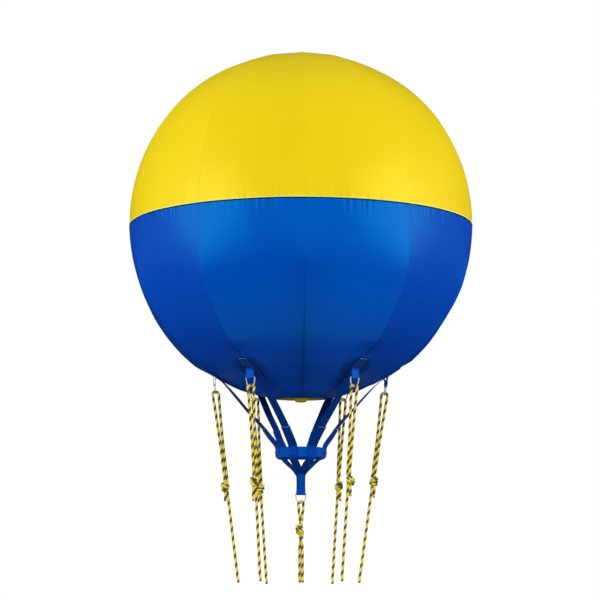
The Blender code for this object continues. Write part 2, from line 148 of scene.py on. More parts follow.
def ease(values: Array, start: float, end: float) -> Array:
    """Rise smoothly from 0 at start to 1 at end."""
    return smoothed(np.clip((values - start) / (end - start), 0.0, 1.0))


def line_noise(values: Array, seed: int, period: int = 4096) -> Array:
    """Give smooth noise along a line.

    Args:
        values: Places on the line, in cells.
        seed: Which noise.
        period: Number of cells after which it repeats.

    Returns:
        Values from -1 to 1.
    """
    table = np.random.default_rng(seed).uniform(-1.0, 1.0, period)
    cell = np.floor(values).astype(int)
    share = smoothed(values - cell)
    return table[cell % period] * (1.0 - share) + table[(cell + 1) % period] * share


def sheet_noise(across: Array, up: Array, seed: int, period: int) -> Array:
    """Give smooth noise over a sheet.

    Args:
        across: Places across, in cells; it repeats after period cells.
        up: Places up, in cells.
        seed: Which noise.
        period: Number of cells across.

    Returns:
        Values from -1 to 1.
    """
    rows = 256
    table = np.random.default_rng(seed).uniform(-1.0, 1.0, (period, rows))
    i, j = np.floor(across).astype(int), np.floor(up).astype(int)
    s, t = smoothed(across - i), smoothed(up - j)
    here, after = i % period, (i + 1) % period
    near, far = (table[side, j % rows] * (1 - t) + table[side, (j + 1) % rows] * t for side in (here, after))
    return near * (1 - s) + far * s


def direction(azimuth: Array | float, latitude: Array | float) -> Array:
    """Give unit directions from the envelope's centre."""
    a, b = np.radians(azimuth), np.radians(latitude)
    return np.stack([np.cos(b) * np.sin(a), -np.cos(b) * np.cos(a), np.sin(b)], axis=-1)


def polar(radius: float, turn: float, z: float = 0.0) -> Triple:
    """Give the point at a radius and a turn about Z."""
    return radius * math.cos(turn), radius * math.sin(turn), z


def place_matrix(azimuth: float, radius: float, z: float) -> Matrix:
    """Give a frame whose -Y points outwards at a place, with X along the tangent."""
    return Matrix.Rotation(math.radians(azimuth), 4, "Z") @ Matrix.Translation((0.0, -radius, z))


def moved(points: Array, matrix: Matrix) -> Array:
    """Put points of shape (..., 3) through a matrix."""
    grid = np.array(matrix)
    return points @ grid[:3, :3].T + grid[:3, 3]


def run_length(points: Array) -> Array:
    """Give each point's distance along its line."""
    return np.concatenate([[0.0], np.cumsum(np.linalg.norm(np.diff(points, axis=0), axis=1))])


def smooth_line(controls: Array, spacing: float, finer: int = 24) -> Array:
    """Run a smooth line through control rows and share its points out evenly.

    Args:
        controls: Rows whose first three numbers are x, y and z; any others are carried along.
        spacing: Wanted distance between points.
        finer: Steps between two controls before the points are shared out.

    Returns:
        Rows along the line.
    """
    ends = np.vstack([2 * controls[0] - controls[1], controls, 2 * controls[-1] - controls[-2]])
    t = np.linspace(0.0, 1.0, finer, endpoint=False)[:, None]
    runs = []
    for a, b, c, d in zip(ends, ends[1:], ends[2:], ends[3:]):
        square, cube = 2 * a - 5 * b + 4 * c - d, 3 * b - a - 3 * c + d
        runs.append(0.5 * (2 * b + (c - a) * t + square * t**2 + cube * t**3))
    dense = np.vstack(runs + [controls[-1:]])
    along = run_length(dense[:, :3])
    wanted = np.linspace(0.0, along[-1], max(2, round(along[-1] / spacing) + 1))
    return np.stack([np.interp(wanted, along, column) for column in dense.T], axis=1)


def tangents(line: Array, closed: bool = False) -> Array:
    """Give the unit directions along a line, which may close on itself."""
    along = np.roll(line, -1, axis=0) - np.roll(line, 1, axis=0) if closed else np.gradient(line, axis=0)
    return along / np.linalg.norm(along, axis=1, keepdims=True)


@dataclass(frozen=True)
class Skin:
    """The envelope's outside: its sphere, its seams, and how the fabric gathers along them."""

    radius: float = 1.0
    bottom_drop: float = 0.028
    full_drop_latitude: float = 75.0
    drop_power: float = 1.6
    foot_drop: float = 0.004
    pole_rise: float = 0.010
    foot_tip: float = 0.043
    gores: int = 10
    seam_latitude: float = -1.0
    flatness: float = 0.85
    upper_flatness: float = 0.25
    seam_rise: float = 0.049
    upper_band: tuple[float, float] = (8.0, 34.0)
    lower_band: tuple[float, float] = (3.0, 24.0)
    foot_band: tuple[float, float] = (62.0, 79.0)
    swell: float = 0.0010
    swell_cells: tuple[tuple[float, int, float], ...] = ((9.0, 11, 1.0), (3.6, 12, 0.45))
    pucker: float = 0.0008
    pucker_cell: float = 0.0095
    pucker_reach: float = 0.030
    reach_cell: float = 0.05
    strength_cell: float = 0.13
    middle_pucker: float = 0.0030
    # Painted light and shade that follows the middle seam's gathers.
    middle_tone: float = 0.26
    middle_cells: int = 480
    middle_reach: float = 0.042
    seam_dip: float = 0.0010
    dip_reach: float = 0.005
    crease_reach: float = 0.0052
    patch_reach: float = 0.100
    patch_pull: float = 0.0028
    patch_folds: int = 26
    fold_reach: float = 0.045
    fold_band: tuple[float, float] = (0.085, 0.1)
    # Painted shade by the front and back seams and towards the foot, and painted light at the foot's rim.
    fold_tone: float = -0.15
    fold_degrees: float = 9.0
    low_tone: float = -0.22
    rim_tone: float = 0.28

    @property
    def pitch(self) -> float:
        """Give the degrees from one seam to the next."""
        return 360.0 / self.gores

    def distance(self, latitude: Array | float) -> Array:
        """Give the distance from the centre to the smooth outside.

        Args:
            latitude: Latitudes in degrees.

        Returns:
            Distances in metres.
        """
        low = -np.asarray(latitude, float)
        share = np.clip(low / self.full_drop_latitude, 0.0, 1.0)
        foot = self.foot_drop * ease(low, 65.0, 80.0) - self.pole_rise * ease(low, 81.5, 89.0)
        return self.radius + self.bottom_drop * share**self.drop_power + foot

    def level(self, latitude: Array) -> Array:
        """Give the distance from the axis to the smooth outside."""
        return self.distance(latitude) * np.cos(np.radians(latitude))

    def beside(self, azimuth: Array, latitude: Array) -> Array:
        """Give the distance to the nearest seam between gores."""
        off = np.abs(azimuth - np.round(azimuth / self.pitch) * self.pitch)
        return np.radians(off) * self.level(latitude)

    def above(self, latitude: Array) -> Array:
        """Give the height over the middle seam, along the skin."""
        return np.radians(latitude - self.seam_latitude) * self.radius

    def patch_field(self, azimuth: Array, latitude: Array) -> tuple[Array, Array]:
        """Measure how far points lie from the nearest patch.

        Args:
            azimuth: Azimuths in degrees.
            latitude: Latitudes in degrees.

        Returns:
            The distance to the patch's middle, and the radial folds round it, from -1 to 1.
        """
        rays = direction(azimuth, latitude)
        nearest = np.full(rays.shape[:-1], 9.0)
        folds = np.zeros(rays.shape[:-1])
        for number, place in enumerate(PLACES):
            middle, side, up = disc_axes(place.azimuth, PATCH_LATITUDE)
            away = np.arccos(np.clip(rays @ middle, -1.0, 1.0)) * self.radius
            turn = np.arctan2(rays @ up, rays @ side) / math.tau * self.patch_folds
            wave = line_noise(turn, 40 + number, self.patch_folds)
            folds = np.where(away < nearest, wave, folds)
            nearest = np.minimum(away, nearest)
        return nearest, folds

    def relief(self, azimuth: Array, latitude: Array) -> Array:
        """Give how far the fabric stands over its smooth outside.

        Each gore is flatter than the sphere, so its seams stand out, and it puckers along them.

        Args:
            azimuth: Azimuths in degrees.
            latitude: Latitudes in degrees.

        Returns:
            Heights in metres.
        """
        pitch, level = self.pitch, self.level(latitude)
        off_middle = np.radians((np.mod(azimuth / pitch, 1.0) - 0.5) * pitch)
        chord = math.cos(math.radians(pitch / 2)) / np.cos(off_middle) - 1.0 + self.seam_rise
        rise = self.upper_flatness * ease(latitude, *self.upper_band) + ease(-latitude, *self.lower_band)
        flat = chord * level * self.flatness * rise * (1.0 - ease(-latitude, *self.foot_band))
        swell = 0.0
        for cell, seed, share in self.swell_cells:
            noise = sheet_noise(azimuth / cell, latitude / cell, seed, round(360.0 / cell))
            swell = swell + self.swell * share * noise
        away, folds = self.patch_field(azimuth, latitude)
        height = (flat + swell) * ease(away, self.patch_reach * 1.12, self.patch_reach * 2.4)

        seam = np.round(azimuth / pitch)
        beside = self.beside(azimuth, latitude)
        run = np.radians(latitude) * self.radius
        lane = np.mod(seam, self.gores) * 211.0 + 60.0 * (azimuth > seam * pitch)
        wave = line_noise(run / self.pucker_cell + lane, 21)
        reach = self.pucker_reach * (1.0 + 0.6 * line_noise(run / self.reach_cell + lane, 22))
        strength = 0.55 + 0.45 * line_noise(run / self.strength_cell + lane, 23)
        gather = self.pucker * strength * wave * np.exp(-beside / reach)
        gather = gather + self.middle_pucker * self.middle_gather(azimuth, latitude)

        deep = 0.15 + 0.85 * ease(-latitude, 30.0, 60.0)
        dips = deep * np.exp(-((beside / self.dip_reach) ** 2))
        dips = dips + np.exp(-((self.above(latitude) / self.dip_reach) ** 2))
        clear = ease(away, self.patch_reach, self.patch_reach * 1.3)
        height = height + (gather - self.seam_dip * np.minimum(dips, 1.0)) * clear
        around = np.exp(-np.abs(away - self.patch_reach) / self.fold_reach) * ease(away, *self.fold_band)
        return height + self.patch_pull * folds * around

    def middle_gather(self, azimuth: Array, latitude: Array) -> Array:
        """Give the fabric's gathers along the middle seam, weaker over it than under it.

        Args:
            azimuth: Azimuths in degrees.
            latitude: Latitudes in degrees.

        Returns:
            Values from -1 to 1.
        """
        above = self.above(latitude)
        turn = azimuth / 360.0
        gather = np.zeros(np.broadcast(azimuth, latitude).shape)
        for over, seed, share, long in ((True, 31, 0.55, 0.6), (False, 34, 1.0, 1.0)):
            wave = line_noise(turn * self.middle_cells, seed, self.middle_cells)
            reach = self.middle_reach * long * (1.0 + 0.6 * line_noise(turn * 180, seed + 1, 180))
            strength = share * (0.8 + 0.2 * line_noise(turn * 36, seed + 2, 36))
            fine = strength * wave * np.exp(-np.abs(above) / reach)
            gather = gather + np.where((above > 0) == over, fine, 0.0)
        return gather

    def points(self, azimuth: Array, latitude: Array, height: Array | float) -> Array:
        """Give points at a height over the gathered fabric."""
        azimuth, latitude = np.broadcast_arrays(np.asarray(azimuth, float), np.asarray(latitude, float))
        reach = self.distance(latitude) + self.relief(azimuth, latitude) + height
        return self.tipped(direction(azimuth, latitude) * reach[..., None])

    def tipped(self, points: Array) -> Array:
        """Tip the foot of the envelope a little, low at the front."""
        shift = self.foot_tip * points[..., 1] * ease(-points[..., 2], 0.93, 1.01)
        return points + shift[..., None] * (0.0, 0.0, 1.0)

    def crease(self, azimuth: Array, latitude: Array) -> Array:
        """Give 1 at a seam low down and less higher up, falling to 0 a few millimetres away.

        Args:
            azimuth: Azimuths in degrees.
            latitude: Latitudes in degrees.

        Returns:
            Values from 0 to 1.
        """
        strength = 0.05 + 0.95 * ease(-latitude, 22.0, 50.0)
        gores = np.exp(-self.beside(azimuth, latitude) / self.crease_reach) * strength
        return np.maximum(gores, 0.3 * np.exp(-np.abs(self.above(latitude)) / 0.007))

    def foot_tone(self, points: Array) -> Array:
        """Paint shade on the fabric towards the foot and by the front and back seams, and paint light at the
        foot's rim, so it is less shaded there.

        Args:
            points: Points on the skin.

        Returns:
            How much lighter each is, as a share.
        """
        azimuth, low = np.degrees(np.arctan2(points[:, 0], -points[:, 1])), -points[:, 2]
        aside = np.abs(np.mod(azimuth + 90.0, 180.0) - 90.0)
        # Painted shade by the front and back seams, painted shade towards the foot, and painted light at its
        # rim.
        fold = self.fold_tone * np.exp(-((aside / self.fold_degrees) ** 2)) * ease(low, 0.15, 0.45)
        return fold + self.low_tone * ease(low, 0.45, 1.0) + self.rim_tone * ease(low, 0.966, 0.990)


def disc_axes(azimuth: float, latitude: float) -> tuple[Array, Array, Array]:
    """Give the direction of a place on the skin, and two directions along the skin there.

    Args:
        azimuth: The place's azimuth.
        latitude: Its latitude.

    Returns:
        The three directions.
    """
    turn = math.radians(azimuth)
    middle = direction(azimuth, latitude)
    side = np.array([math.cos(turn), math.sin(turn), 0.0])
    return middle, side, np.cross(middle, side)


SKIN = Skin()


def show(name: str, data: bpy.types.ID) -> Item:
    """Make an object of a mesh, light or camera, and link it to the scene."""
    item = bpy.data.objects.new(name, data)
    bpy.context.scene.collection.objects.link(item)
    return item


def face_outwards(mesh: bpy.types.Mesh, weld: bool = False) -> None:
    """Turn a closed mesh's faces outwards, and first merge its doubled points where it is welded.

    Args:
        mesh: The mesh.
        weld: Whether its doubled points are merged first.
    """
    shape = bmesh.new()
    shape.from_mesh(mesh)
    if weld:
        bmesh.ops.remove_doubles(shape, verts=shape.verts[:], dist=WELD_DISTANCE)
    bmesh.ops.recalc_face_normals(shape, faces=shape.faces[:])
    shape.to_mesh(mesh)
    shape.free()


class Workpiece:
    """Gathers the points, faces and corner UVs of one mesh, and makes an object of them."""

    def __init__(self) -> None:
        """Start empty."""
        self.points: list[Array] = []
        self.count = 0
        self.faces: list[tuple[int, ...]] = []
        self.uvs: list[tuple[float, float]] = []

    def face(self, numbers: tuple[int, ...], uv: list[tuple[float, float]]) -> None:
        """Add one face with its corners' UVs."""
        self.faces.append(numbers)
        self.uvs.extend(uv)

    def lay(self, places: Array) -> Array:
        """Add points of shape (..., 3) and give their numbers in the same shape."""
        flat = places.reshape(-1, 3)
        numbers = np.arange(self.count, self.count + len(flat)).reshape(places.shape[:-1])
        self.points.append(flat)
        self.count += len(flat)
        return numbers

    def quads(self, numbers: Array, uv: Array) -> None:
        """Fill a grid of point numbers, with a UV for each."""
        before, after = numbers[:, :-1], numbers[:, 1:]
        faces = np.stack([before[:-1], after[:-1], after[1:], before[1:]], axis=-1).reshape(-1, 4)
        corners = np.stack([uv[:-1, :-1], uv[:-1, 1:], uv[1:, 1:], uv[1:, :-1]], axis=2).reshape(-1, 2)
        self.faces.extend(map(tuple, faces.tolist()))
        self.uvs.extend(map(tuple, corners.tolist()))

    def grid(self, places: Array, uv: Array, wrap: bool = False) -> Array:
        """Add a grid of quads.

        Args:
            places: Points of shape (rows, columns, 3).
            uv: UVs of shape (rows, columns, 2), with one more column where it wraps.
            wrap: Whether the last column joins the first.

        Returns:
            The points' numbers, of shape (rows, columns).
        """
        numbers = self.lay(places)
        self.quads(np.append(numbers, numbers[:, :1], axis=1) if wrap else numbers, uv)
        return numbers

    def bridge(self, first: Array, first_at: Array, second: Array, second_at: Array) -> None:
        """Fill between two lines of points with triangles.

        Args:
            first: Point numbers of one line.
            first_at: UVs of its points, with the share along in their first column.
            second: Point numbers of the other line.
            second_at: UVs of its points.
        """
        i = j = 0
        while i < len(first) - 1 or j < len(second) - 1:
            if j == len(second) - 1 or (i < len(first) - 1 and first_at[i + 1][0] <= second_at[j + 1][0]):
                trio = (first[i], first[i + 1], second[j])
                corners = (first_at[i], first_at[i + 1], second_at[j])
                i += 1
            else:
                trio = (second[j + 1], second[j], first[i])
                corners = (second_at[j + 1], second_at[j], first_at[i])
                j += 1
            self.face(tuple(int(n) for n in trio), [tuple(c) for c in corners])

    def cap(self, loop: Array) -> None:
        """Close an end with one flat face."""
        self.face(tuple(int(n) for n in loop), [(0.0, 0.0)] * len(loop))

    def join(self, first: Array, second: Array) -> None:
        """Close between two rings of points."""
        for here in range(len(first)):
            there = (here + 1) % len(first)
            self.cap(np.array((first[here], first[there], second[there], second[here])))

    def finish(
        self, name: str, look: Material, values: dict[str, Array] | None = None, sharp: float = 40.0
    ) -> Item:
        """Make the object, with every closed part facing outwards.

        Args:
            name: The piece's name.
            look: Its material.
            values: Numbers for each point, by attribute name.
            sharp: Angle over which an edge is shaded sharp, in degrees.

        Returns:
            The object, linked to the scene.
        """
        mesh = bpy.data.meshes.new(name)
        mesh.from_pydata(np.vstack(self.points).tolist(), [], self.faces)
        layer = mesh.uv_layers.new(name="UVMap")
        layer.data.foreach_set("uv", np.array(self.uvs, dtype=np.float32).ravel())
        for key, numbers in (values or {}).items():
            attribute = mesh.attributes.new(key, "FLOAT", "POINT")
            attribute.data.foreach_set("value", numbers.astype(np.float32).ravel())
        face_outwards(mesh)
        mesh.shade_smooth()
        mesh.set_sharp_from_angle(angle=math.radians(sharp))
        mesh.materials.append(look)
        return show(name, mesh)


def swept(
    name: str, line: Array, rings: Array, u: Array, look: Material, values: dict[str, Array] | None = None,
    closed: bool = False, sharp: float = 60.0,
) -> Item:
    """Make a piece of rings of points laid along a line.

    Args:
        name: The piece's name.
        line: Points along it, whose distances are the UVs' second number.
        rings: The rings' points, of shape (rows, around, 3).
        u: The UVs' first number, once for each point around and again for the first.
        look: Its material.
        values: Numbers for each row, by attribute name.
        closed: Whether its ends meet; otherwise they are capped.
        sharp: Angle over which an edge is shaded sharp, in degrees.

    Returns:
        The object, not yet on a body.
    """
    values, lengths = values or {}, run_length(line)
    if closed:
        rings = np.concatenate([rings, rings[:1]])
        values = {key: np.append(numbers, numbers[0]) for key, numbers in values.items()}
        lengths = np.append(lengths, lengths[-1] + np.linalg.norm(line[0] - line[-1]))
    uv = np.stack(np.broadcast_arrays(u[None, :], lengths[:, None]), axis=-1)
    piece = Workpiece()
    numbers = piece.grid(rings, uv, wrap=True)
    if not closed:
        piece.cap(numbers[0])
        piece.cap(numbers[-1][::-1])
    spread = {key: np.repeat(row_values, rings.shape[1]) for key, row_values in values.items()}
    item = piece.finish(name, look, spread, sharp)
    if closed:
        face_outwards(item.data, weld=True)
    return item


def mount_piece(item: Item, body: str, slot: Slot, *nodes: str) -> None:
    """Ride a finished piece on its body.

    Args:
        item: The piece.
        body: The body that it moves with.
        slot: The record's slot that its finish comes from; not used.
        nodes: CAD nodes that it stands for.
    """
    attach(item, body)
    if nodes:
        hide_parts(*nodes)
    log.info("%s: %d faces on %s", item.name, len(item.data.polygons), body)


class NodeBench:
    """Adds and joins the nodes of one tree."""

    def __init__(self, tree: bpy.types.NodeTree) -> None:
        """Keep the tree."""
        self.tree = tree

    def add(self, kind: str, settings: dict | None = None, inputs: dict | None = None) -> bpy.types.Node:
        """Add a node.

        Args:
            kind: The node's type.
            settings: Its properties.
            inputs: A value or another node's socket for each of its inputs, by name or number.

        Returns:
            The node.
        """
        node = self.tree.nodes.new(kind)
        for key, value in (settings or {}).items():
            setattr(node, key, value)
        for key, value in (inputs or {}).items():
            self.feed(node.inputs[key], value)
        return node

    def feed(self, target: Socket, value: object) -> None:
        """Give a socket a value, or link another node's socket to it."""
        if isinstance(value, Socket):
            self.tree.links.new(value, target)
        else:
            target.default_value = value

    def math(self, operation: str, first: object, second: object = 0.0, third: object = 0.5) -> Socket:
        """Add a Math node and give its result."""
        inputs = {0: first, 1: second, 2: third}
        return self.add("ShaderNodeMath", {"operation": operation}, inputs).outputs[0]

    def times(self, first: object, second: object) -> Socket:
        """Multiply two numbers."""
        return self.math("MULTIPLY", first, second)

    def plus(self, first: object, second: object) -> Socket:
        """Add two numbers."""
        return self.math("ADD", first, second)

    def minus(self, first: object, second: object) -> Socket:
        """Take one number from another."""
        return self.math("SUBTRACT", first, second)

    def over(self, first: object, second: object) -> Socket:
        """Divide one number by another."""
        return self.math("DIVIDE", first, second)

    def sine(self, first: object, second: object) -> Socket:
        """Give the sine of two numbers' product."""
        return self.math("SINE", self.times(first, second))

    def mix(self, share: object, first: object, second: object) -> Socket:
        """Mix two colours and give the result."""
        node = self.add("ShaderNodeMix", {"data_type": "RGBA"}, {0: share, 6: first, 7: second})
        return node.outputs[2]

    def ramp(self, value: object, start: float, end: float) -> Socket:
        """Rise smoothly from 0 at start to 1 at end."""
        settings = {"interpolation_type": "SMOOTHSTEP"}
        node = self.add("ShaderNodeMapRange", settings, {"Value": value, "From Min": start, "From Max": end})
        return node.outputs["Result"]

    def shade(self, colour: object, factor: object) -> Socket:
        """Scale a colour by a number."""
        colour = colour if isinstance(colour, Socket) else colour[:3]
        node = self.add("ShaderNodeVectorMath", {"operation": "SCALE"}, {0: colour, "Scale": factor})
        return node.outputs[0]

    def split(self, vector: Socket) -> tuple[Socket, Socket]:
        """Give a vector's X and Y."""
        parts = self.add("ShaderNodeSeparateXYZ", {}, {"Vector": vector})
        return parts.outputs["X"], parts.outputs["Y"]


class EffectGroups:
    """Shader groups that several finishes use, each built once."""

    def __init__(self) -> None:
        """Build the groups."""
        self.mottle = self._mottle()
        self.weave = self._weave()
        self.ribs = self._ribs()

    @staticmethod
    def _start(
        name: str, numbers: tuple[str, ...], outputs: tuple[str, ...]
    ) -> tuple[NodeBench, list[Socket], bpy.types.Node]:
        """Make an empty group.

        Args:
            name: The group's name.
            numbers: Names of its inputs after the vector.
            outputs: Names of its number outputs.

        Returns:
            The bench, the input sockets, and the group's output node.
        """
        tree = bpy.data.node_groups.new(name, "ShaderNodeTree")
        tree.interface.new_socket("Vector", in_out="INPUT", socket_type="NodeSocketVector")
        for way, keys in (("INPUT", numbers), ("OUTPUT", outputs)):
            for key in keys:
                tree.interface.new_socket(key, in_out=way, socket_type="NodeSocketFloat")
        bench = NodeBench(tree)
        entry = bench.add("NodeGroupInput")
        return bench, [entry.outputs[key] for key in ("Vector", *numbers)], bench.add("NodeGroupOutput")

    def _mottle(self) -> bpy.types.NodeTree:
        """Build soft uneven colour: a factor round 1."""
        bench, (vector, scale, amount), out = self._start("soft_mottle", ("Scale", "Amount"), ("Factor",))
        cloud = bench.add("ShaderNodeTexNoise", {}, {"Vector": vector, "Scale": scale, "Detail": 3.0})
        spread = bench.times(bench.minus(cloud.outputs["Fac"], 0.5), bench.times(amount, 2.0))
        bench.feed(out.inputs["Factor"], bench.plus(spread, 1.0))
        return bench.tree

    def _weave(self) -> bpy.types.NodeTree:
        """Build a plain weave on UVs in metres."""
        bench, (vector, threads), out = self._start("plain_weave", ("Threads",), ("Height",))
        across, along = bench.split(vector)
        turns = bench.times(threads, math.pi)
        product = bench.times(bench.sine(across, turns), bench.sine(along, turns))
        bench.feed(out.inputs["Height"], bench.math("MULTIPLY_ADD", product, 0.5))
        return bench.tree

    def _ribs(self) -> bpy.types.NodeTree:
        """Build the lengthwise ribs and cross picks of webbing on UVs in metres."""
        names = ("Rib Width", "Pick Length")
        bench, (vector, width, length), out = self._start("webbing_ribs", names, ("Height", "Groove"))
        across, along = bench.split(vector)
        rib = bench.over(across, width)
        crown = bench.math("ABSOLUTE", bench.sine(rib, math.pi))
        parity = bench.times(bench.math("MODULO", bench.math("FLOOR", rib), 2.0), 0.5)
        wave = bench.sine(bench.plus(bench.over(along, length), parity), math.tau)
        bench.feed(out.inputs["Height"], bench.times(crown, bench.plus(bench.times(wave, 0.25), 0.75)))
        bench.feed(out.inputs["Groove"], bench.minus(1.0, bench.ramp(crown, 0.1, 0.55)))
        return bench.tree


def plain(colour: Triple) -> tuple[float, float, float, float]:
    """Give a colour with its alpha."""
    return (*colour, 1.0)


class FinishBench(NodeBench):
    """A bench on one material, with the effects that several finishes share."""

    def __init__(self, name: str, colour: Triple, groups: EffectGroups, sockets: dict[str, object]) -> None:
        """Make the material and set its shader's sockets.

        Args:
            name: The material's name.
            colour: Its colour.
            groups: The shared shader groups.
            sockets: Values of its shader's other sockets.
        """
        self.look = bpy.data.materials.new(name)
        self.look.use_nodes = True
        self.look.diffuse_color = plain(colour)
        super().__init__(self.look.node_tree)
        self.groups = groups
        self.shader = self.tree.nodes["Principled BSDF"].inputs
        for key, value in {"Base Color": plain(colour), **sockets}.items():
            self.feed(self.shader[key], value)
        self.place = self.add("ShaderNodeTexCoord").outputs

    def effect(self, group: bpy.types.NodeTree, place: str, **numbers: float) -> bpy.types.NodeOutputs:
        """Add a shared group.

        Args:
            group: The group.
            place: What it is laid on, UV or Object.
            numbers: Its inputs, with underscores for the spaces in their names.

        Returns:
            Its outputs.
        """
        inputs = {key.replace("_", " "): value for key, value in numbers.items()}
        inputs["Vector"] = self.place[place]
        return self.add("ShaderNodeGroup", {"node_tree": group}, inputs).outputs

    def mottle(self, scale: float, amount: float) -> Socket:
        """Give a soft uneven factor round 1."""
        return self.effect(self.groups.mottle, "Object", Scale=scale, Amount=amount)["Factor"]

    def ribs(self, width: float, length: float) -> bpy.types.NodeOutputs:
        """Give the height and grooves of ribs."""
        return self.effect(self.groups.ribs, "UV", Rib_Width=width, Pick_Length=length)

    def own(self, name: str) -> Socket:
        """Give the numbers that a mesh carries under a name."""
        return self.add("ShaderNodeAttribute", {"attribute_name": name}).outputs["Fac"]

    def relieve(self, height: Socket, depth: float, strength: float) -> Material:
        """Give the shader a bump from a height, and hand the material over."""
        bump = self.add("ShaderNodeBump", {}, {"Height": height, "Distance": depth, "Strength": strength})
        self.feed(self.shader["Normal"], bump.outputs["Normal"])
        return self.look


@dataclass(frozen=True)
class Finish:
    """What every finish has: a name, a colour and how its shader is set."""

    name: str
    colour: Triple
    roughness: float = 0.5
    specular: float = 0.5
    gleam: Triple = (1.0, 1.0, 1.0)

    def start(self, groups: EffectGroups, **sockets: float) -> FinishBench:
        """Make the material with its plain shader settings.

        Args:
            groups: The shared shader groups.
            sockets: More shader sockets to set, with underscores for the spaces in their names.

        Returns:
            A bench on it.
        """
        more = {key.replace("_", " "): value for key, value in sockets.items()}
        gloss = {"Roughness": self.roughness, "Specular IOR Level": self.specular}
        tint = {"Specular Tint": plain(self.gleam)}
        return FinishBench(self.name, self.colour, groups, {**gloss, **tint, **more})

    def build(self, groups: EffectGroups) -> Material:
        """Make the material, as each kind of finish does in its own way.

        Args:
            groups: The shared shader groups.

        Returns:
            The material.
        """
        raise NotImplementedError


@dataclass(frozen=True)
class CoatedFabric(Finish):
    """Satin coated fabric with a faint weave and creases that hold a little shade."""

    threads: float = 620.0
    weave_depth: float = 0.00010
    cloud: tuple[float, float] = (3.2, 0.03)
    scuffs: tuple[float, float] = (26.0, 0.12)
    crease_shade: float = 0.08
    weld_pitch: float = 0.0

    def build(self, groups: EffectGroups) -> Material:
        """Make the material."""
        bench = self.start(groups, IOR=1.6)
        # The mesh's tone holds painted light and shade as well as each piece's own tone.
        shade = bench.plus(bench.own("tone_and_painted_shading"), bench.mottle(*self.cloud))
        hold = bench.times(bench.own("crease"), self.crease_shade)
        shade = bench.times(shade, bench.minus(1.0, hold))
        bench.feed(bench.shader["Base Color"], bench.shade(self.colour, shade))
        bench.feed(bench.shader["Roughness"], bench.times(bench.mottle(*self.scuffs), self.roughness))
        height = bench.effect(groups.weave, "UV", Threads=self.threads)["Height"]
        if self.weld_pitch:
            marks = bench.ribs(self.weld_pitch, self.weld_pitch * 1.7)
            height = bench.plus(height, bench.times(marks["Height"], 2.0))
        return bench.relieve(height, self.weave_depth, 0.5)


@dataclass(frozen=True)
class Webbing(Finish):
    """Woven webbing: ribs along it, picks across, and a little fuzz at its edges."""

    rib_width: float = 0.0021
    pick_length: float = 0.0034
    depth: float = 0.0005
    groove_shade: float = 0.45
    cloud: tuple[float, float] = (34.0, 0.16)
    fibres: tuple[float, float] = (900.0, 0.22)

    def build(self, groups: EffectGroups) -> Material:
        """Make the material."""
        bench = self.start(groups, Sheen_Weight=0.06, Sheen_Roughness=0.35)
        ribs = bench.ribs(self.rib_width, self.pick_length)
        fibres = bench.mottle(*self.fibres)
        groove = bench.times(ribs["Groove"], self.groove_shade)
        shade = bench.times(bench.mottle(*self.cloud), bench.minus(1.0, groove))
        shade = bench.times(shade, fibres)
        # Painted light and shade along the webbing, from the mesh.
        shade = bench.math("MULTIPLY_ADD", bench.own("webbing_painted_shading"), shade, shade)
        bench.feed(bench.shader["Base Color"], bench.shade(self.colour, shade))
        height = bench.plus(ribs["Height"], bench.times(fibres, 0.15))
        return bench.relieve(height, self.depth, 0.8)


@dataclass(frozen=True)
class FleckRope(Finish):
    """Braided rope with a dark yarn that shows as a slanting fleck once a turn."""

    fleck: Triple = (0.070, 0.085, 0.052)
    # The braid's crowns are painted this paler colour: a painted highlight.
    pale: Triple = (0.86, 0.70, 0.10)
    sealed: Triple = (0.10, 0.075, 0.02)
    cloud: tuple[float, float] = (420.0, 0.25)
    fleck_pitch: float = 0.051
    fleck_share: float = 0.50
    braid_pitch: float = 0.011
    braid_count: float = 6.0

    def build(self, groups: EffectGroups) -> Material:
        """Make the material."""
        bench = self.start(groups, Sheen_Weight=0.06, Sheen_Roughness=0.4)
        around, along = bench.split(bench.place["UV"])
        strands = bench.times(around, self.braid_count)
        climb = bench.over(along, self.braid_pitch)
        left = bench.sine(bench.plus(strands, climb), math.tau)
        braid = bench.times(left, bench.sine(bench.minus(strands, climb), math.tau))
        turn = bench.math("FRACT", bench.minus(around, bench.over(along, self.fleck_pitch)))
        ragged = bench.plus(turn, bench.times(braid, 0.035))
        rise = bench.ramp(ragged, 0.04, 0.08)
        fall = bench.minus(1.0, bench.ramp(ragged, self.fleck_share, self.fleck_share + 0.04))
        # Paler on the braid's crowns: a painted highlight.
        yarn = bench.mix(bench.ramp(braid, -0.6, 0.7), plain(self.colour), plain(self.pale))
        mixed = bench.mix(bench.times(rise, fall), yarn, plain(self.fleck))
        mixed = bench.mix(bench.own("sealed"), mixed, plain(self.sealed))
        bench.feed(bench.shader["Base Color"], bench.shade(mixed, bench.mottle(*self.cloud)))
        return bench.relieve(bench.math("MULTIPLY_ADD", braid, 0.5), 0.0009, 0.8)


@dataclass(frozen=True)
class Thread(Finish):
    """Sewing thread."""

    twist: tuple[float, float] = (700.0, 0.2)

    def build(self, groups: EffectGroups) -> Material:
        """Make the material."""
        bench = self.start(groups, Sheen_Weight=0.1)
        twist = bench.mottle(*self.twist)
        bench.feed(bench.shader["Base Color"], bench.shade(self.colour, twist))
        return bench.relieve(twist, 0.0001, 0.4)


@dataclass(frozen=True)
class Moulded(Finish):
    """Moulded plastic with a faint grain."""

    cloud: tuple[float, float] = (60.0, 0.08)
    grain_scale: float = 1400.0

    def build(self, groups: EffectGroups) -> Material:
        """Make the material."""
        bench = self.start(groups)
        inputs = {"Vector": bench.place["Object"], "Scale": self.grain_scale, "Detail": 2.0}
        grain = bench.add("ShaderNodeTexNoise", {}, inputs)
        bench.feed(bench.shader["Base Color"], bench.shade(self.colour, bench.mottle(*self.cloud)))
        return bench.relieve(grain.outputs["Fac"], 0.0001, 0.3)


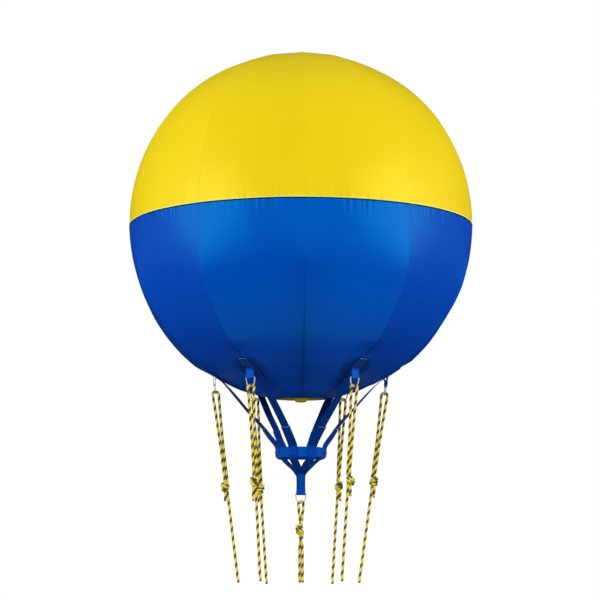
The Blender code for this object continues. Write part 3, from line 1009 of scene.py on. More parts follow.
@dataclass(frozen=True)
class PlatedWire(Finish):
    """Bright plated steel wire with fine draw marks and duller spots."""

    dull: Triple = (0.3, 0.3, 0.31)
    cloud: tuple[float, float] = (120.0, 0.5)
    draw_marks: tuple[float, float] = (0.0007, 0.02)

    def build(self, groups: EffectGroups) -> Material:
        """Make the material."""
        bench = self.start(groups, Metallic=0.45)
        cloud = bench.mottle(*self.cloud)
        bench.feed(bench.shader["Roughness"], bench.times(cloud, self.roughness))
        tint = bench.mix(bench.ramp(cloud, 0.8, 1.3), plain(self.colour), plain(self.dull))
        bench.feed(bench.shader["Base Color"], tint)
        return bench.relieve(bench.ribs(*self.draw_marks)["Height"], 0.00004, 0.25)


@dataclass
class Looks:
    """Every material of the balloon, built once."""

    groups: EffectGroups

    def __post_init__(self) -> None:
        """Build the materials."""
        yellow, blue = (0.87, 0.655, 0.0), (0.0, 0.058, 0.49)
        warm, cool = (1.0, 0.85, 0.14), (0.0, 0.65, 1.0)
        fold, smooth = {"crease_shade": 0.42}, {"crease_shade": 0.0}
        weld = {"weld_pitch": 0.0026}
        finishes = {
            "yellow_fabric": CoatedFabric("yellow_coated_fabric", yellow, 0.38, 0.85, warm),
            "blue_fabric": CoatedFabric("blue_coated_fabric", blue, 0.38, 0.85, cool, **fold),
            "navy_fabric": CoatedFabric("navy_doubler_fabric", (0.0, 0.026, 0.19), 0.5, 0.2, cool),
            "yellow_weld": CoatedFabric("yellow_weld_tape", yellow, 0.40, 0.8, warm, **weld),
            "blue_weld": CoatedFabric("blue_weld_tape", blue, 0.40, 0.8, cool, **fold, **weld),
            "pale_lip": CoatedFabric("pale_seam_lip", (0.80, 0.84, 0.27), 0.5, 0.2, warm, **smooth),
            # A near-black strip under the lip: a painted shadow.
            "dark_lip": CoatedFabric("painted_seam_shadow", (0.0, 0.035, 0.055), 0.6, 0.1, cool, **smooth),
            "webbing": Webbing("blue_webbing", (0.0, 0.034, 0.26), 0.72, 0.2, cool),
            # Lighter copies of the webbing: painted light on the belt, its lap, the tail's covers and the
            # tabs.
            "belt_webbing": Webbing("belt_web_painted_light", (0.0, 0.085, 0.48), 0.70, 0.25, cool),
            "tab_webbing": Webbing("tab_web_painted_light", (0.004, 0.093, 0.59), 0.66, 0.3, cool),
            "rope": FleckRope("fleck_braid_rope", (0.77, 0.57, 0.04), 0.72, 0.2, warm),
            "white_thread": Thread("white_thread", (0.42, 0.52, 0.66), 0.6, 0.4),
            "blue_thread": Thread("blue_thread", (0.0, 0.075, 0.42), 0.6, 0.3, cool),
            # Pale thread: a stitch row, and rows that stand for painted highlights on the straps' edges.
            "pale_thread": Thread("pale_thread", (0.10, 0.24, 0.52), 0.6, 0.3),
            "wire": PlatedWire("bright_plated_wire", (0.80, 0.81, 0.83), 0.34, 0.6),
            "plastic": Moulded("yellow_moulded_plastic", (0.62, 0.46, 0.012), 0.45, 0.3),
        }
        self.by_name = {key: finish.build(self.groups) for key, finish in finishes.items()}

    def __getitem__(self, key: str) -> Material:
        """Give a material by its key."""
        return self.by_name[key]


@dataclass
class Panels:
    """The twenty gores, each a closed skin panel with its gathers."""

    looks: Looks
    fine_pitch: float = 0.0050
    row_pitch: float = 0.0054
    fine_band: float = 0.095
    fine_columns: int = 126
    columns: int = 34
    inner_columns: int = 4
    edge_crowding: float = 0.75
    thickness: float = 0.0025
    disc_radius: float = 0.1453
    # Painted light on the two front gores of the lower half.
    front_tone: float = 0.05
    tones: tuple[float, ...] = (0.0, -0.03, 0.01, -0.01, 0.015, -0.01, 0.01, -0.015, 0.0, -0.02)

    def tip_latitude(self, half: Half) -> float:
        """Give the latitude where a panel ends under its end disc."""
        latitude = 80.0 * half.value
        for _ in range(20):
            latitude = half.value * math.degrees(math.acos(self.disc_radius / float(SKIN.distance(latitude))))
        return latitude

    def build(self) -> None:
        """Build and mount every panel."""
        for half in Half:
            for number in range(SKIN.gores):
                self._panel(half, number)

    def _panel(self, half: Half, number: int) -> None:
        """Build one panel: a fine band along the middle seam, then the rest up to its tip.

        Args:
            half: The half that it lies in.
            number: Which gore, counted from the front towards +X.
        """
        pitch = SKIN.pitch
        gap = math.degrees(0.00015)
        length = math.radians(abs(self.tip_latitude(half) - SKIN.seam_latitude)) * SKIN.radius
        fine = np.arange(0.0, self.fine_band, self.fine_pitch)
        coarse = np.linspace(fine[-1] + self.row_pitch, length, round((length - fine[-1]) / self.row_pitch))
        coarse_shares = np.linspace(0.0, 1.0, self.columns + 1)
        coarse_shares = coarse_shares - self.edge_crowding * np.sin(math.tau * coarse_shares) / math.tau
        fine_shares = np.linspace(0.0, 1.0, self.fine_columns + 1)
        inner_shares = np.linspace(0.0, 1.0, self.inner_columns + 1)
        piece = Workpiece()
        tables, gather_painted_shading = [], []

        def lay(runs: Array, shares: Array, depth: float) -> tuple[Array, Array]:
            """Add one grid of the panel and give its numbers and UVs.

            Args:
                runs: Distances from the middle seam.
                shares: Shares of the way across.
                depth: Depth under the outside.

            Returns:
                The points' numbers and UVs.
            """
            latitude = SKIN.seam_latitude + half.value * (gap / 2 + np.degrees(runs / SKIN.radius))
            latitude, share = np.meshgrid(latitude, shares, indexing="ij")
            azimuth = (number + share) * pitch + (0.5 - share) * gap
            wide = np.radians(pitch) * SKIN.level(latitude)
            uv = np.stack([(share - 0.5) * wide, np.broadcast_to(runs[:, None], share.shape)], axis=-1)
            numbers = piece.grid(SKIN.points(azimuth, latitude, -depth), uv)
            tables.append(SKIN.crease(azimuth, latitude).ravel())
            # Painted light and shade that follows the middle seam's gathers.
            gather_painted_shading.append(SKIN.middle_tone * SKIN.middle_gather(azimuth, latitude).ravel())
            return numbers, uv

        band, band_uv = lay(fine, fine_shares, 0.0)
        rest, rest_uv = lay(coarse, coarse_shares, 0.0)
        back, back_uv = lay(np.concatenate([fine, coarse]), inner_shares, self.thickness)
        piece.bridge(band[-1], band_uv[-1], rest[0], rest_uv[0])
        piece.bridge(band[0], band_uv[0], back[0], back_uv[0])
        piece.bridge(rest[-1], rest_uv[-1], back[-1], back_uv[-1])
        for column in (0, -1):
            edge = np.concatenate([band[:, column], rest[:, column]])
            for row in range(len(edge) - 1):
                piece.cap(np.array((edge[row], edge[row + 1], back[row + 1, column], back[row, column])))
        tone = self.tones[number]
        # The two front gores of the lower half get painted light.
        if half is Half.LOWER and number in (0, SKIN.gores - 1):
            tone += self.front_tone
        tones = tone + SKIN.foot_tone(np.vstack(piece.points)) + np.concatenate(gather_painted_shading)
        values = {"crease": np.concatenate(tables), "tone_and_painted_shading": tones}
        word, look = half.name.lower(), self.looks[f"{half.colour}_fabric"]
        panel = piece.finish(f"panel_{word}_{number + 1:02d}", look, values, sharp=50.0)
        mount_piece(panel, FIXED_BODY, half.slot, f"{word}_gore_{number + 1:02d}")


@dataclass
class Seams:
    """The welded tapes over the gores' seams, the lip where the two colours meet, and a dark strip under the
    lip that is a painted shadow.
    """

    looks: Looks
    panels: Panels
    tape_half: float = 0.0055
    tape_height: float = 0.0006
    step: float = 0.0054
    lip_steps: int = 1260
    lip: tuple[tuple[float, float], ...] = (
        (0.0050, 0.0002),
        (0.0042, 0.0013),
        (0.0018, 0.0018),
        (0.0002, 0.0015),
        (-0.0006, 0.0006),
        (0.0, -0.0007),
        (0.0044, -0.0009),
    )
    # Section of the dark strip under the lip, a painted shadow.
    edge: tuple[tuple[float, float], ...] = (
        (-0.0009, -0.0004),
        (-0.0010, 0.0004),
        (-0.0066, 0.0007),
        (-0.0082, 0.0002),
        (-0.0082, -0.0006),
    )

    def build(self) -> None:
        """Build and mount the tapes, the lip and the painted shadow strip under it."""
        for half in Half:
            self._tapes(half)
        lip = self._ring("seam_lip", self.lip, "pale_lip")
        mount_piece(lip, FIXED_BODY, Slot.YELLOW_FABRIC, "seam_tape")
        mount_piece(self._ring("seam_shadow_strip", self.edge, "dark_lip"), FIXED_BODY, Slot.NAVY_FABRIC)

    def _tapes(self, half: Half) -> None:
        """Build one half's ten tapes, as one piece.

        Args:
            half: The half that they lie in.
        """
        low = SKIN.seam_latitude + half.value * 0.2
        high = self.panels.tip_latitude(half) - half.value * 0.3
        rows = round(math.radians(abs(high - low)) / self.step)
        latitude = np.linspace(low, high, rows)[:, None]
        top, foot = self.tape_height, -0.0009
        across = np.array([-1.0, -0.93, -0.45, 0.0, 0.45, 0.93, 1.0, 0.96, -0.96]) * self.tape_half
        height = np.array([-0.0001, top, top, top, top, top, -0.0001, foot, foot])
        level = SKIN.level(latitude)
        piece = Workpiece()
        u = np.append(across, across[0]) + 0.05
        v = np.linspace(0.0, rows * self.step, rows)
        uv = np.stack(np.broadcast_arrays(u[None, :], v[:, None]), axis=-1)
        for seam in range(SKIN.gores):
            azimuth = seam * SKIN.pitch + np.degrees(across[None, :] / level)
            spread = np.broadcast_to(latitude, azimuth.shape)
            numbers = piece.grid(SKIN.points(azimuth, spread, height[None, :]), uv, wrap=True)
            piece.cap(numbers[0])
            piece.cap(numbers[-1][::-1])
        spots = np.vstack(piece.points)
        azimuth = np.degrees(np.arctan2(spots[:, 0], -spots[:, 1]))
        latitude = np.degrees(np.arctan2(spots[:, 2], np.hypot(spots[:, 0], spots[:, 1])))
        # Painted shade towards the foot, as on the gores.
        values = {"tone_and_painted_shading": SKIN.foot_tone(spots), "crease": SKIN.crease(azimuth, latitude)}
        tapes = piece.finish(f"weld_tapes_{half.name.lower()}", self.looks[f"{half.colour}_weld"], values)
        mount_piece(tapes, FIXED_BODY, half.slot)

    def _ring(self, name: str, section: tuple[tuple[float, float], ...], look: str) -> Item:
        """Build a ring round the middle seam from a closed section of (up, out).

        Args:
            name: The piece's name.
            section: Its section's corners.
            look: Its material's key.

        Returns:
            The object, not yet on a body.
        """
        up, out = np.array(section).T
        azimuth = np.linspace(0.0, 360.0, self.lip_steps, endpoint=False)[:, None]
        latitude = SKIN.seam_latitude + np.degrees(up / SKIN.radius)[None, :]
        azimuth, latitude = np.broadcast_arrays(azimuth, latitude)
        v = np.linspace(0.0, math.tau, self.lip_steps + 1)
        uv = np.stack(np.broadcast_arrays(np.append(up, up[0])[None, :], v[:, None]), axis=-1)
        piece = Workpiece()
        numbers = piece.lay(SKIN.points(azimuth, latitude, out[None, :]))
        numbers = np.append(numbers, numbers[:1], axis=0)
        piece.quads(np.append(numbers, numbers[:, :1], axis=1), uv)
        return piece.finish(name, self.looks[look])


@dataclass
class SkinDisc:
    """A round piece of fabric laid on the skin, gathered round its rim."""

    name: str
    middle: tuple[float, float]
    radius: float
    lift: float
    under: float
    folds: int
    fold_depth: float
    hole: float = 0.0
    rings: int = 18
    around: int = 144
    weld_inset: float = 0.007
    rim_tone: float = 0.0

    def build(self, look: Material) -> Item:
        """Build the disc.

        Args:
            look: Its material.

        Returns:
            The object, not yet on a body.
        """
        flat = np.linspace(max(self.hole, 0.0015), self.radius - 0.012, self.rings - 8)
        bend = self.radius - 0.012 * 0.5 ** np.arange(1, 7)
        out = np.concatenate([flat, bend, [self.radius - 0.00008, self.radius]])
        angle = np.linspace(0.0, math.tau, self.around, endpoint=False)
        rho, theta = np.meshgrid(out, angle, indexing="ij")
        edge = 1.0 - np.clip((rho - (self.radius - 0.0012)) / 0.0012, 0.0, 1.0) ** 2
        wave = line_noise(theta / math.tau * self.folds, 71 + self.folds, self.folds)
        fold = self.fold_depth * wave * ease(rho, self.radius * 0.35, self.radius * 0.95)
        weld = np.exp(-(((rho - (self.radius - self.weld_inset)) / 0.0016) ** 2))
        height = self.under + (self.lift - self.under) * edge + fold * edge - 0.0006 * weld
        wrapped = np.linspace(0.0, math.tau, self.around + 1)
        uv = out[:, None, None] * np.stack([np.cos(wrapped), np.sin(wrapped)], axis=-1)
        piece = Workpiece()
        top = piece.grid(self._spots(rho, theta, height), uv, wrap=True)
        bottom = piece.grid(self._spots(rho, theta, np.full_like(height, self.under)), uv, wrap=True)
        piece.join(top[-1], bottom[-1])
        if self.hole:
            piece.join(top[0], bottom[0])
        else:
            piece.cap(top[0])
            piece.cap(bottom[0][::-1])
        # Lighter or darker towards the rim by rim_tone; on the hem this is a painted shadow line.
        tone = self.rim_tone * ease(rho, self.radius * 0.62, self.radius).ravel()
        return piece.finish(self.name, look, {"tone_and_painted_shading": np.concatenate([tone, tone])})

    def _spots(self, rho: Array, theta: Array, level: Array) -> Array:
        """Put polar places round the disc's middle, at a height over the skin's smooth outside.

        Args:
            rho: Distances from the middle, along the skin.
            theta: Turns round it, in radians.
            level: Heights.

        Returns:
            The points.
        """
        centre, side, up = disc_axes(*self.middle)
        away = (rho / SKIN.radius)[..., None]
        across = np.cos(theta)[..., None] * side + np.sin(theta)[..., None] * up
        rays = np.cos(away) * centre + np.sin(away) * across
        latitude = np.degrees(np.arcsin(np.clip(rays[..., 2], -1.0, 1.0)))
        return SKIN.tipped(rays * (SKIN.distance(latitude) + level)[..., None])


@dataclass
class EndCovers:
    """The crown's cover, and the base's with its hem and filling valve."""

    looks: Looks
    radius: float = 0.152
    valve_top_z: float = -1.0170
    neck_radius: float = 0.021
    flange_radius: float = 0.038
    cap_radius: float = 0.035
    grips: int = 14

    def build(self) -> None:
        """Build and mount both covers, the hem and the valve."""
        fabric = (self.radius, 0.0018, -0.0035, 60, 0.0007)
        crown = SkinDisc("crown_cover", (0.0, 90.0), *fabric)
        base = SkinDisc("base_cover", (0.0, -90.0), *fabric, self.neck_radius * 1.05)
        for disc, node in ((crown, "crown_disc"), (base, "base_disc")):
            mount_piece(disc.build(self.looks["yellow_fabric"]), FIXED_BODY, Slot.YELLOW_FABRIC, node)
        # The hem darkens towards its rim: a painted shadow line.
        hem = SkinDisc("base_hem", (0.0, -90.0), 0.1575, 0.0048, 0.0, 60, 0.0004, 0.136, rim_tone=-0.6)
        mount_piece(hem.build(self.looks["blue_weld"]), FIXED_BODY, Slot.BLUE_FABRIC)
        self._valve()

    def _turned(self, names: tuple[str, str], outline: Array, around: int, flutes: float = 0.0) -> None:
        """Turn an outline about Z and mount it.

        Args:
            names: The piece's name, and its CAD node's.
            outline: Rows of radius, z and how much of the flutes' depth shows there.
            around: Number of points round it.
            flutes: Depth of the grip flutes, as a share of the radius.
        """
        radius, z, share = outline.T[..., None]
        angle = np.linspace(0.0, math.tau, around, endpoint=False)
        reach = radius * (1.0 - flutes * share * (0.5 + 0.5 * np.cos(angle * self.grips)) ** 2)
        heights = np.broadcast_to(z, reach.shape)
        points = np.stack([reach * np.cos(angle), reach * np.sin(angle), heights], axis=-1)
        u = np.linspace(0.0, math.tau * self.flange_radius, around + 1)
        item = swept(names[0], outline[:, :2], points, u, self.looks["plastic"], sharp=30.0)
        mount_piece(item, FIXED_BODY, Slot.PLASTIC, names[1])

    def _valve(self) -> None:
        """Build the valve's body and its screwed cap."""
        top, seat = self.valve_top_z, self.valve_top_z - 0.0055
        bottom = seat - 0.0115
        r, f = self.neck_radius, self.flange_radius
        body = [(0.004, top), (r - 0.002, top), (r, top - 0.002), (r, seat + 0.0004)]
        body += [(r + 0.001, seat - 0.0002), (f - 0.002, seat - 0.0003), (f - 0.0005, seat - 0.001)]
        body += [(f, seat - 0.002), (f, seat - 0.0045), (f - 0.0004, seat - 0.0070)]
        body += [(f * 0.99, seat - 0.0092), (f * 0.965, bottom + 0.0008)]
        body += [(f * 0.94, bottom + 0.0010), (f * 0.92, bottom + 0.0003), (0.004, bottom + 0.0003)]
        outline = np.array([(radius, z, 0.0) for radius, z in body])
        self._turned(("valve_body", "inflation_valve"), outline, 72)
        c, t, b = self.cap_radius, bottom, bottom - 0.0098
        cap = [(0.003, t, 0), (c - 0.001, t, 0), (c, t - 0.0008, 0.3), (c * 0.99, t - 0.002, 1)]
        cap += [(c * 0.95, b + 0.0050, 1), (c * 0.90, b + 0.0030, 0.7), (c * 0.80, b + 0.0014, 0.2)]
        cap += [(c * 0.68, b + 0.0004, 0), (c * 0.55, b, 0), (c * 0.40, b, 0), (c * 0.36, b + 0.0016, 0)]
        cap += [(0.003, b + 0.0016, 0)]
        self._turned(("valve_screw_cap", "valve_cap"), np.array(cap), 168, 0.07)


@dataclass
class Ribbon:
    """A length of flat webbing, swept along a line with rounded edges."""

    thickness: float = 0.003
    faces_across: int = 6
    edge_share: float = 0.9

    def build(
        self, name: str, line: Array, across: Array, widths: Array, look: Material,
        closed: bool = False, tone: Array | float = 0.0,
    ) -> Item:
        """Sweep the webbing.

        Args:
            name: The piece's name.
            line: Its middle line, of shape (rows, 3).
            across: Directions across it, of the same shape.
            widths: Its width at each row.
            look: Its material.
            closed: Whether its ends meet, as a belt's do.
            tone: How much lighter it is at each row, as a share: painted light and shade.

        Returns:
            The object, not yet on a body.
        """
        along = tangents(line, closed)
        side = across - along * np.sum(across * along, axis=1, keepdims=True)
        side /= np.linalg.norm(side, axis=1, keepdims=True)
        facing = np.cross(along, side)
        share, face = self._section().T
        u = share[None, :] * widths[:, None] / 2
        trim = np.where(np.abs(share) > 0.999, 0.0, 1.0)
        reach = np.sign(face) * np.where(np.abs(share) > 0.99, self.edge_share, 1.0)
        v = reach * trim * self.thickness / 2
        rings = line[:, None] + side[:, None] * u[..., None] + facing[:, None] * v[None, :, None]
        rim = np.concatenate([[0.0], np.cumsum(np.abs(np.diff(share)) * WEB_WIDTH / 2)])
        values = {"webbing_painted_shading": np.broadcast_to(tone, len(line))}
        return swept(name, line, rings, np.append(rim, rim[-1]), look, values, closed)

    def _section(self) -> Array:
        """Give the section's corners as (share of the half width, side)."""
        inner = np.linspace(-0.96, 0.96, self.faces_across + 1)
        top = [(-0.992, 1.0), *[(float(s), 1.0) for s in inner], (0.992, 1.0)]
        bottom = [(-s, -1.0) for s, _ in top]
        return np.array([*top, (1.0, 1.0), *bottom, (-1.0, -1.0)])


@dataclass
class StitchRows:
    """Rows of sewn stitches laid along paths by Geometry Nodes."""

    pitch: float = 0.0042
    length: float = 0.0032
    thickness: float = 0.0011

    def __post_init__(self) -> None:
        """Build the tree."""
        self.tree = bpy.data.node_groups.new("stitch_rows", "GeometryNodeTree")
        kinds = {"Paths": "Geometry", "Stitch Pitch": "Float", "Stitch Size": "Vector", "Thread": "Material"}
        for name, kind in kinds.items():
            self.tree.interface.new_socket(name, in_out="INPUT", socket_type=f"NodeSocket{kind}")
        self.tree.interface.new_socket("Stitches", in_out="OUTPUT", socket_type="NodeSocketGeometry")
        bench = NodeBench(self.tree)
        given = bench.add("NodeGroupInput").outputs
        curve = bench.add("GeometryNodeMeshToCurve", {}, {"Mesh": given["Paths"]}).outputs["Curve"]
        inputs = {"Curve": curve, "Length": given["Stitch Pitch"]}
        spots = bench.add("GeometryNodeCurveToPoints", {"mode": "LENGTH"}, inputs).outputs
        bead = bench.add("GeometryNodeMeshUVSphere", {}, {"Segments": 6, "Rings": 4, "Radius": 0.5})
        inputs = {"Geometry": bead.outputs["Mesh"], "Scale": given["Stitch Size"]}
        sized = bench.add("GeometryNodeTransform", {}, inputs).outputs["Geometry"]
        inputs = {"Points": spots["Points"], "Rotation": spots["Rotation"], "Instance": sized}
        rows = bench.add("GeometryNodeInstanceOnPoints", {}, inputs).outputs["Instances"]
        real = bench.add("GeometryNodeRealizeInstances", {}, {"Geometry": rows}).outputs["Geometry"]
        dressed = bench.add("GeometryNodeSetMaterial", {}, {"Geometry": real, "Material": given["Thread"]})
        bench.feed(bench.add("NodeGroupOutput").inputs["Stitches"], dressed.outputs["Geometry"])

    def sew(self, name: str, paths: list[Array], thread: Material) -> Item:
        """Lay stitches along paths.

        Args:
            name: The piece's name.
            paths: Lines of points on the fabric's face.
            thread: The thread's material.

        Returns:
            The stitches as a plain mesh, not yet on a body.
        """
        edges, first = [], 0
        for path in paths:
            edges += [(first + n, first + n + 1) for n in range(len(path) - 1)]
            first += len(path)
        guide = bpy.data.meshes.new(f"{name}_paths")
        guide.from_pydata(np.vstack(paths).tolist(), edges, [])
        holder = show(f"{name}_paths", guide)
        modifier = holder.modifiers.new("stitches", "NODES")
        modifier.node_group = self.tree
        size = (self.thickness, self.thickness, self.length)
        values = {"Stitch Pitch": self.pitch, "Stitch Size": size, "Thread": thread}
        for socket in self.tree.interface.items_tree:
            if socket.in_out == "INPUT" and socket.name in values:
                modifier[socket.identifier] = values[socket.name]
        graph = bpy.context.evaluated_depsgraph_get()
        mesh = bpy.data.meshes.new_from_object(holder.evaluated_get(graph))
        holder.modifiers.remove(modifier)
        bpy.data.objects.remove(holder, do_unlink=True)
        mesh.name = name
        mesh.shade_smooth()
        return show(name, mesh)


def sewn_box(start: float, end: float, half: float) -> list[tuple[float, float]]:
    """Give the corners of a sewn box and one of its diagonals, as (along, across)."""
    return [(start, -half), (end, -half), (end, half), (start, half), (start, -half), (end, half)]


@dataclass
class Harness:
    """Doublers, straps, belt and tail, with their stitching.

    The straps' tables hold (radius, z), and for their free length also how much higher a taut one runs.
    """

    looks: Looks
    stitches: StitchRows
    sewn_latitudes: tuple[float, ...] = (-55.3, -58.0, -60.0, -61.6)
    free: tuple[Triple, ...] = (
        (0.443, -0.9365, 0.0),
        (0.374, -1.015, 0.009),
        (0.306, -1.097, 0.015),
        (0.226, -1.186, 0.015),
        (0.181, -1.247, 0.008),
    )
    under: tuple[tuple[float, float], ...] = ((0.131, -1.375), (0.098, -1.401), (0.060, -1.4265))
    side_under: tuple[tuple[float, float], ...] = (
        (0.127, -1.3685),
        (0.106, -1.3745),
        (0.079, -1.397),
        (0.0525, -1.424),
    )
    taut: str = "side_right"
    # Painted light and shade along the straps, by depth.
    fade_depths: tuple[float, ...] = (0.95, 1.08, 1.20, 1.30, 1.318, 1.362, 1.385)
    front_fade: tuple[float, ...] = (0.0, -0.15, -0.12, -0.16, 0.6, 0.6, 0.0)
    side_fade: tuple[float, ...] = (-0.3, -0.45, -0.3, 0.0, 0.4, 0.4, 0.0)
    back_fade: tuple[float, ...] = (-0.40, -0.35, 0.30, 0.65, 0.6, 0.6, 0.0)
    twist_depths: tuple[float, ...] = (0.90, 1.00, 1.10, 1.20, 1.26, 1.33, 1.38, 1.42, 1.45)
    twist_turns: tuple[float, ...] = (0.0, 12.0, 13.0, 13.0, 16.0, 9.0, 12.0, 10.0, 0.0)
    slim: float = 0.036
    wide: float = 0.048
    patch_top: float = 0.0030
    web_gap: float = 0.0003
    web_thickness: float = 0.003
    step: float = 0.006
    belt_radius: float = 0.1365
    belt_top_z: float = -1.310
    belt_bottom_z: float = -1.367
    belt_slack: float = 0.0045
    lap_top_z: float = -1.197
    lap_end_z: float = -1.349

    def __post_init__(self) -> None:
        """Start with no stitching."""
        self.thread_rows: dict[str, list[Array]] = {"white": [], "blue": [], "pale": []}

    def build(self) -> None:
        """Build and mount the whole harness."""
        for place in PLACES:
            self._doubler(place)
            self._strap(place)
            self._tab(place)
        self._belt()
        self._tail()
        for name, paths in self.thread_rows.items():
            rows = self.stitches.sew(f"stitches_{name}", paths, self.looks[f"{name}_thread"])
            mount_piece(rows, FIXED_BODY, Slot.WEBBING)

    def _web(
        self, names: tuple[str, ...], rows: tuple[Array, Array, Array | float], tone: Array | float,
        look: str = "webbing", shape: tuple[float, int] = (0.003, 6), closed: bool = False,
    ) -> None:
        """Build and mount one length of webbing.

        Args:
            names: The piece's name, and its CAD node's where it stands for one.
            rows: Its middle line, the directions across it, or one, and its widths, or one.
            tone: How much lighter it is at each row, as a share: painted light and shade.
            look: Its material's key.
            shape: Its thickness and number of faces across.
            closed: Whether its ends meet.
        """
        line, across, widths = rows
        across, widths = np.broadcast_to(across, line.shape), np.broadcast_to(widths, len(line))
        item = Ribbon(*shape).build(names[0], line, across, widths, self.looks[look], closed, tone)
        mount_piece(item, FIXED_BODY, Slot.WEBBING, *names[1:])

    def _doubler(self, place: Place) -> None:
        """Build a place's round doubler on the skin.

        Args:
            place: Which place.
        """
        middle = (place.azimuth, PATCH_LATITUDE)
        name = f"doubler_{place.name}"
        disc = SkinDisc(name, middle, SKIN.patch_reach, self.patch_top, -0.0016, 34, 0.0016, rim_tone=0.6)
        item = disc.build(self.looks["navy_fabric"])
        mount_piece(item, FIXED_BODY, Slot.NAVY_FABRIC, f"patch_{place.name}")

    def _strap_rows(self, place: Place) -> tuple[Array, Array, Array]:
        """Give a strap's line, directions across and widths, from its sewn end into the tail.

        Args:
            place: Which place.

        Returns:
            The three, one row for each point.
        """
        height = self.patch_top + self.web_gap + self.web_thickness / 2
        lateral = place.lateral()
        rows = []
        for latitude in self.sewn_latitudes:
            reach = float(SKIN.distance(latitude)) + height
            rows.append((reach * math.cos(math.radians(latitude)), reach * math.sin(math.radians(latitude))))
        outside = self.belt_radius + self.web_thickness + 0.0003
        rows += [(radius, z + lift * (place.name == self.taut)) for radius, z, lift in self.free]
        rows += [(outside, -1.303), (outside, -1.354), *(self.side_under if lateral else self.under)]
        controls = []
        for radius, z in rows:
            azimuth = math.radians(place.lead(radius))
            side = (math.cos(azimuth), math.sin(azimuth), 0.0)
            controls.append((radius * math.sin(azimuth), -radius * math.cos(azimuth), z, *side, WEB_WIDTH))
        last = np.array(controls[-1])
        layer = place.tail_layer * (self.web_thickness + 0.0002)
        turned = np.array((-1.0 if last[3] < -0.3 else 1.0, 0.0, 0.0))
        wide, slim = self.wide, self.slim if lateral else self.wide
        ends = ((0.52, -1.4450, slim), (0.16, -1.4630, slim), (0.0, -1.4810, wide), (0.0, -1.505, wide))
        for share, z, width in ends:
            y = layer + (last[1] - layer) * share * (0.6 if share < 0.3 else 1.0)
            bend = 1.0 - share if lateral else 1.0 - share * 0.9
            side = last[3:6] * (1.0 - bend) + turned * bend
            controls.append(np.array((last[0] * share, y, z, *side, width)))
        line = smooth_line(np.array(controls), self.step)
        middle, across = line[:, :3], line[:, 3:6]
        if lateral:
            across = self._twisted(middle, across, math.copysign(1.0, place.azimuth))
        return middle, across, line[:, 6]

    def _strap_tone(self, place: Place, heights: Array) -> Array:
        """Give how much lighter a strap is at heights: painted light over the belt, and painted shade and
        light along its free length.
        """
        far = self.back_fade if abs(place.azimuth) > 90.0 else self.front_fade
        return np.interp(-heights, self.fade_depths, self.side_fade if place.lateral() else far)

    def _twisted(self, middle: Array, across: Array, hand: float) -> Array:
        """Turn a side strap's flat a little to the front along its free length."""
        turn = np.radians(hand * np.interp(-middle[:, 2], self.twist_depths, self.twist_turns))[:, None]
        return across * np.cos(turn) + np.cross(tangents(middle), across) * np.sin(turn)

    def _strap(self, place: Place) -> None:
        """Build a place's strap, its doubled end, and mark their stitching.

        Args:
            place: Which place.
        """
        line, across, widths = self._strap_rows(place)
        tone, lengths = self._strap_tone(place, line[:, 2]), run_length(line)
        self._web((f"strap_web_{place.name}", f"strap_{place.name}"), (line, across, widths), tone)
        facing = np.cross(tangents(line), across)
        facing *= np.sign(np.sum(facing * line * (1.0, 1.0, 0.0), axis=1, keepdims=True))

        doubled = (line[:, 2] < self.lap_top_z) & (line[:, 2] > self.lap_end_z)
        lift = self.web_thickness + 0.0001
        over = line[doubled] + facing[doubled] * lift + across[doubled] * 0.0012
        rows = (over, across[doubled], widths[doubled] * 1.12)
        self._web((f"strap_lap_{place.name}",), rows, tone[doubled])

        def row(corners: list[tuple[float, float]], above: float = 0.0) -> Array:
            """Give a line of points on the strap's face through corners of (run, share across).

            Args:
                corners: The corners.
                above: Height over the face.

            Returns:
                The points.
            """
            spots = []
            reach = self.web_thickness / 2 + 0.0001 + above
            for (a, p), (b, q) in zip(corners, corners[1:]):
                count = max(2, round(math.hypot(b - a, (q - p) * WEB_WIDTH / 2) / 0.003))
                runs, shares = np.linspace(a, b, count), np.linspace(p, q, count)[:, None]
                spot, side, out = (
                    np.stack([np.interp(runs, lengths, column) for column in part.T], axis=1)
                    for part in (line, across, facing)
                )
                spots.append(spot + side * shares * WEB_WIDTH / 2 + out * reach)
            return np.vstack(spots)

        def run_at(z: float) -> float:
            """Give how far down the strap a height is."""
            return float(np.interp(z, line[::-1, 2], lengths[::-1]))

        inner = -0.95 if place.azimuth > 0 else 0.95
        white, blue, pale = (self.thread_rows[key] for key in ("white", "blue", "pale"))
        white += [row([(run, -0.92), (run, 0.92)]) for run in (0.003, 0.0052)]
        blue += [row(sewn_box(0.009, 0.040, 0.86)), row([(0.009, 0.86), (0.040, -0.86)])]
        # Pale thread rows along the strap's edges stand for painted highlights on those edges.
        pale += [row([(0.006, inner), (0.125, inner)]), row([(0.006, -inner), (0.070, -inner)])]
        first, top = run_at(self.lap_top_z), run_at(self.belt_top_z - 0.004)
        low = run_at(self.lap_end_z + 0.004)
        white += [row([(first + run, -0.9), (first + run, 0.9)], lift) for run in (0.004, 0.0062)]
        blue += [row([(first + 0.012, share), (first + 0.078, share)], lift) for share in (-0.86, 0.86)]
        blue += [row(sewn_box(top, low, 0.86), lift), row([(top, 0.86), (low, -0.86)], lift)]
        pale.append(row([(low + 0.002, -0.9), (low + 0.002, 0.9)], lift))

    def _tab(self, place: Place) -> None:
        """Build the looped tab that a place's ring hangs in.

        Args:
            place: Which place.
        """
        height = self.patch_top + self.web_gap * 2 + self.web_thickness + 0.0014
        reach = float(SKIN.distance(PATCH_LATITUDE)) + height
        turn = math.radians(PATCH_LATITUDE)
        root = np.array((reach * math.cos(turn), reach * math.sin(turn)))
        rise = np.array((-math.sin(turn), math.cos(turn)))

        def on_strap(out: float) -> tuple[float, float]:
            """Give a point along the strap's face, as (out, up) from the bar."""
            point = root + rise * (RING_PIVOT_RADIUS + out - root[0]) / rise[0]
            return point[0] - RING_PIVOT_RADIUS, point[1] - RING_PIVOT_Z

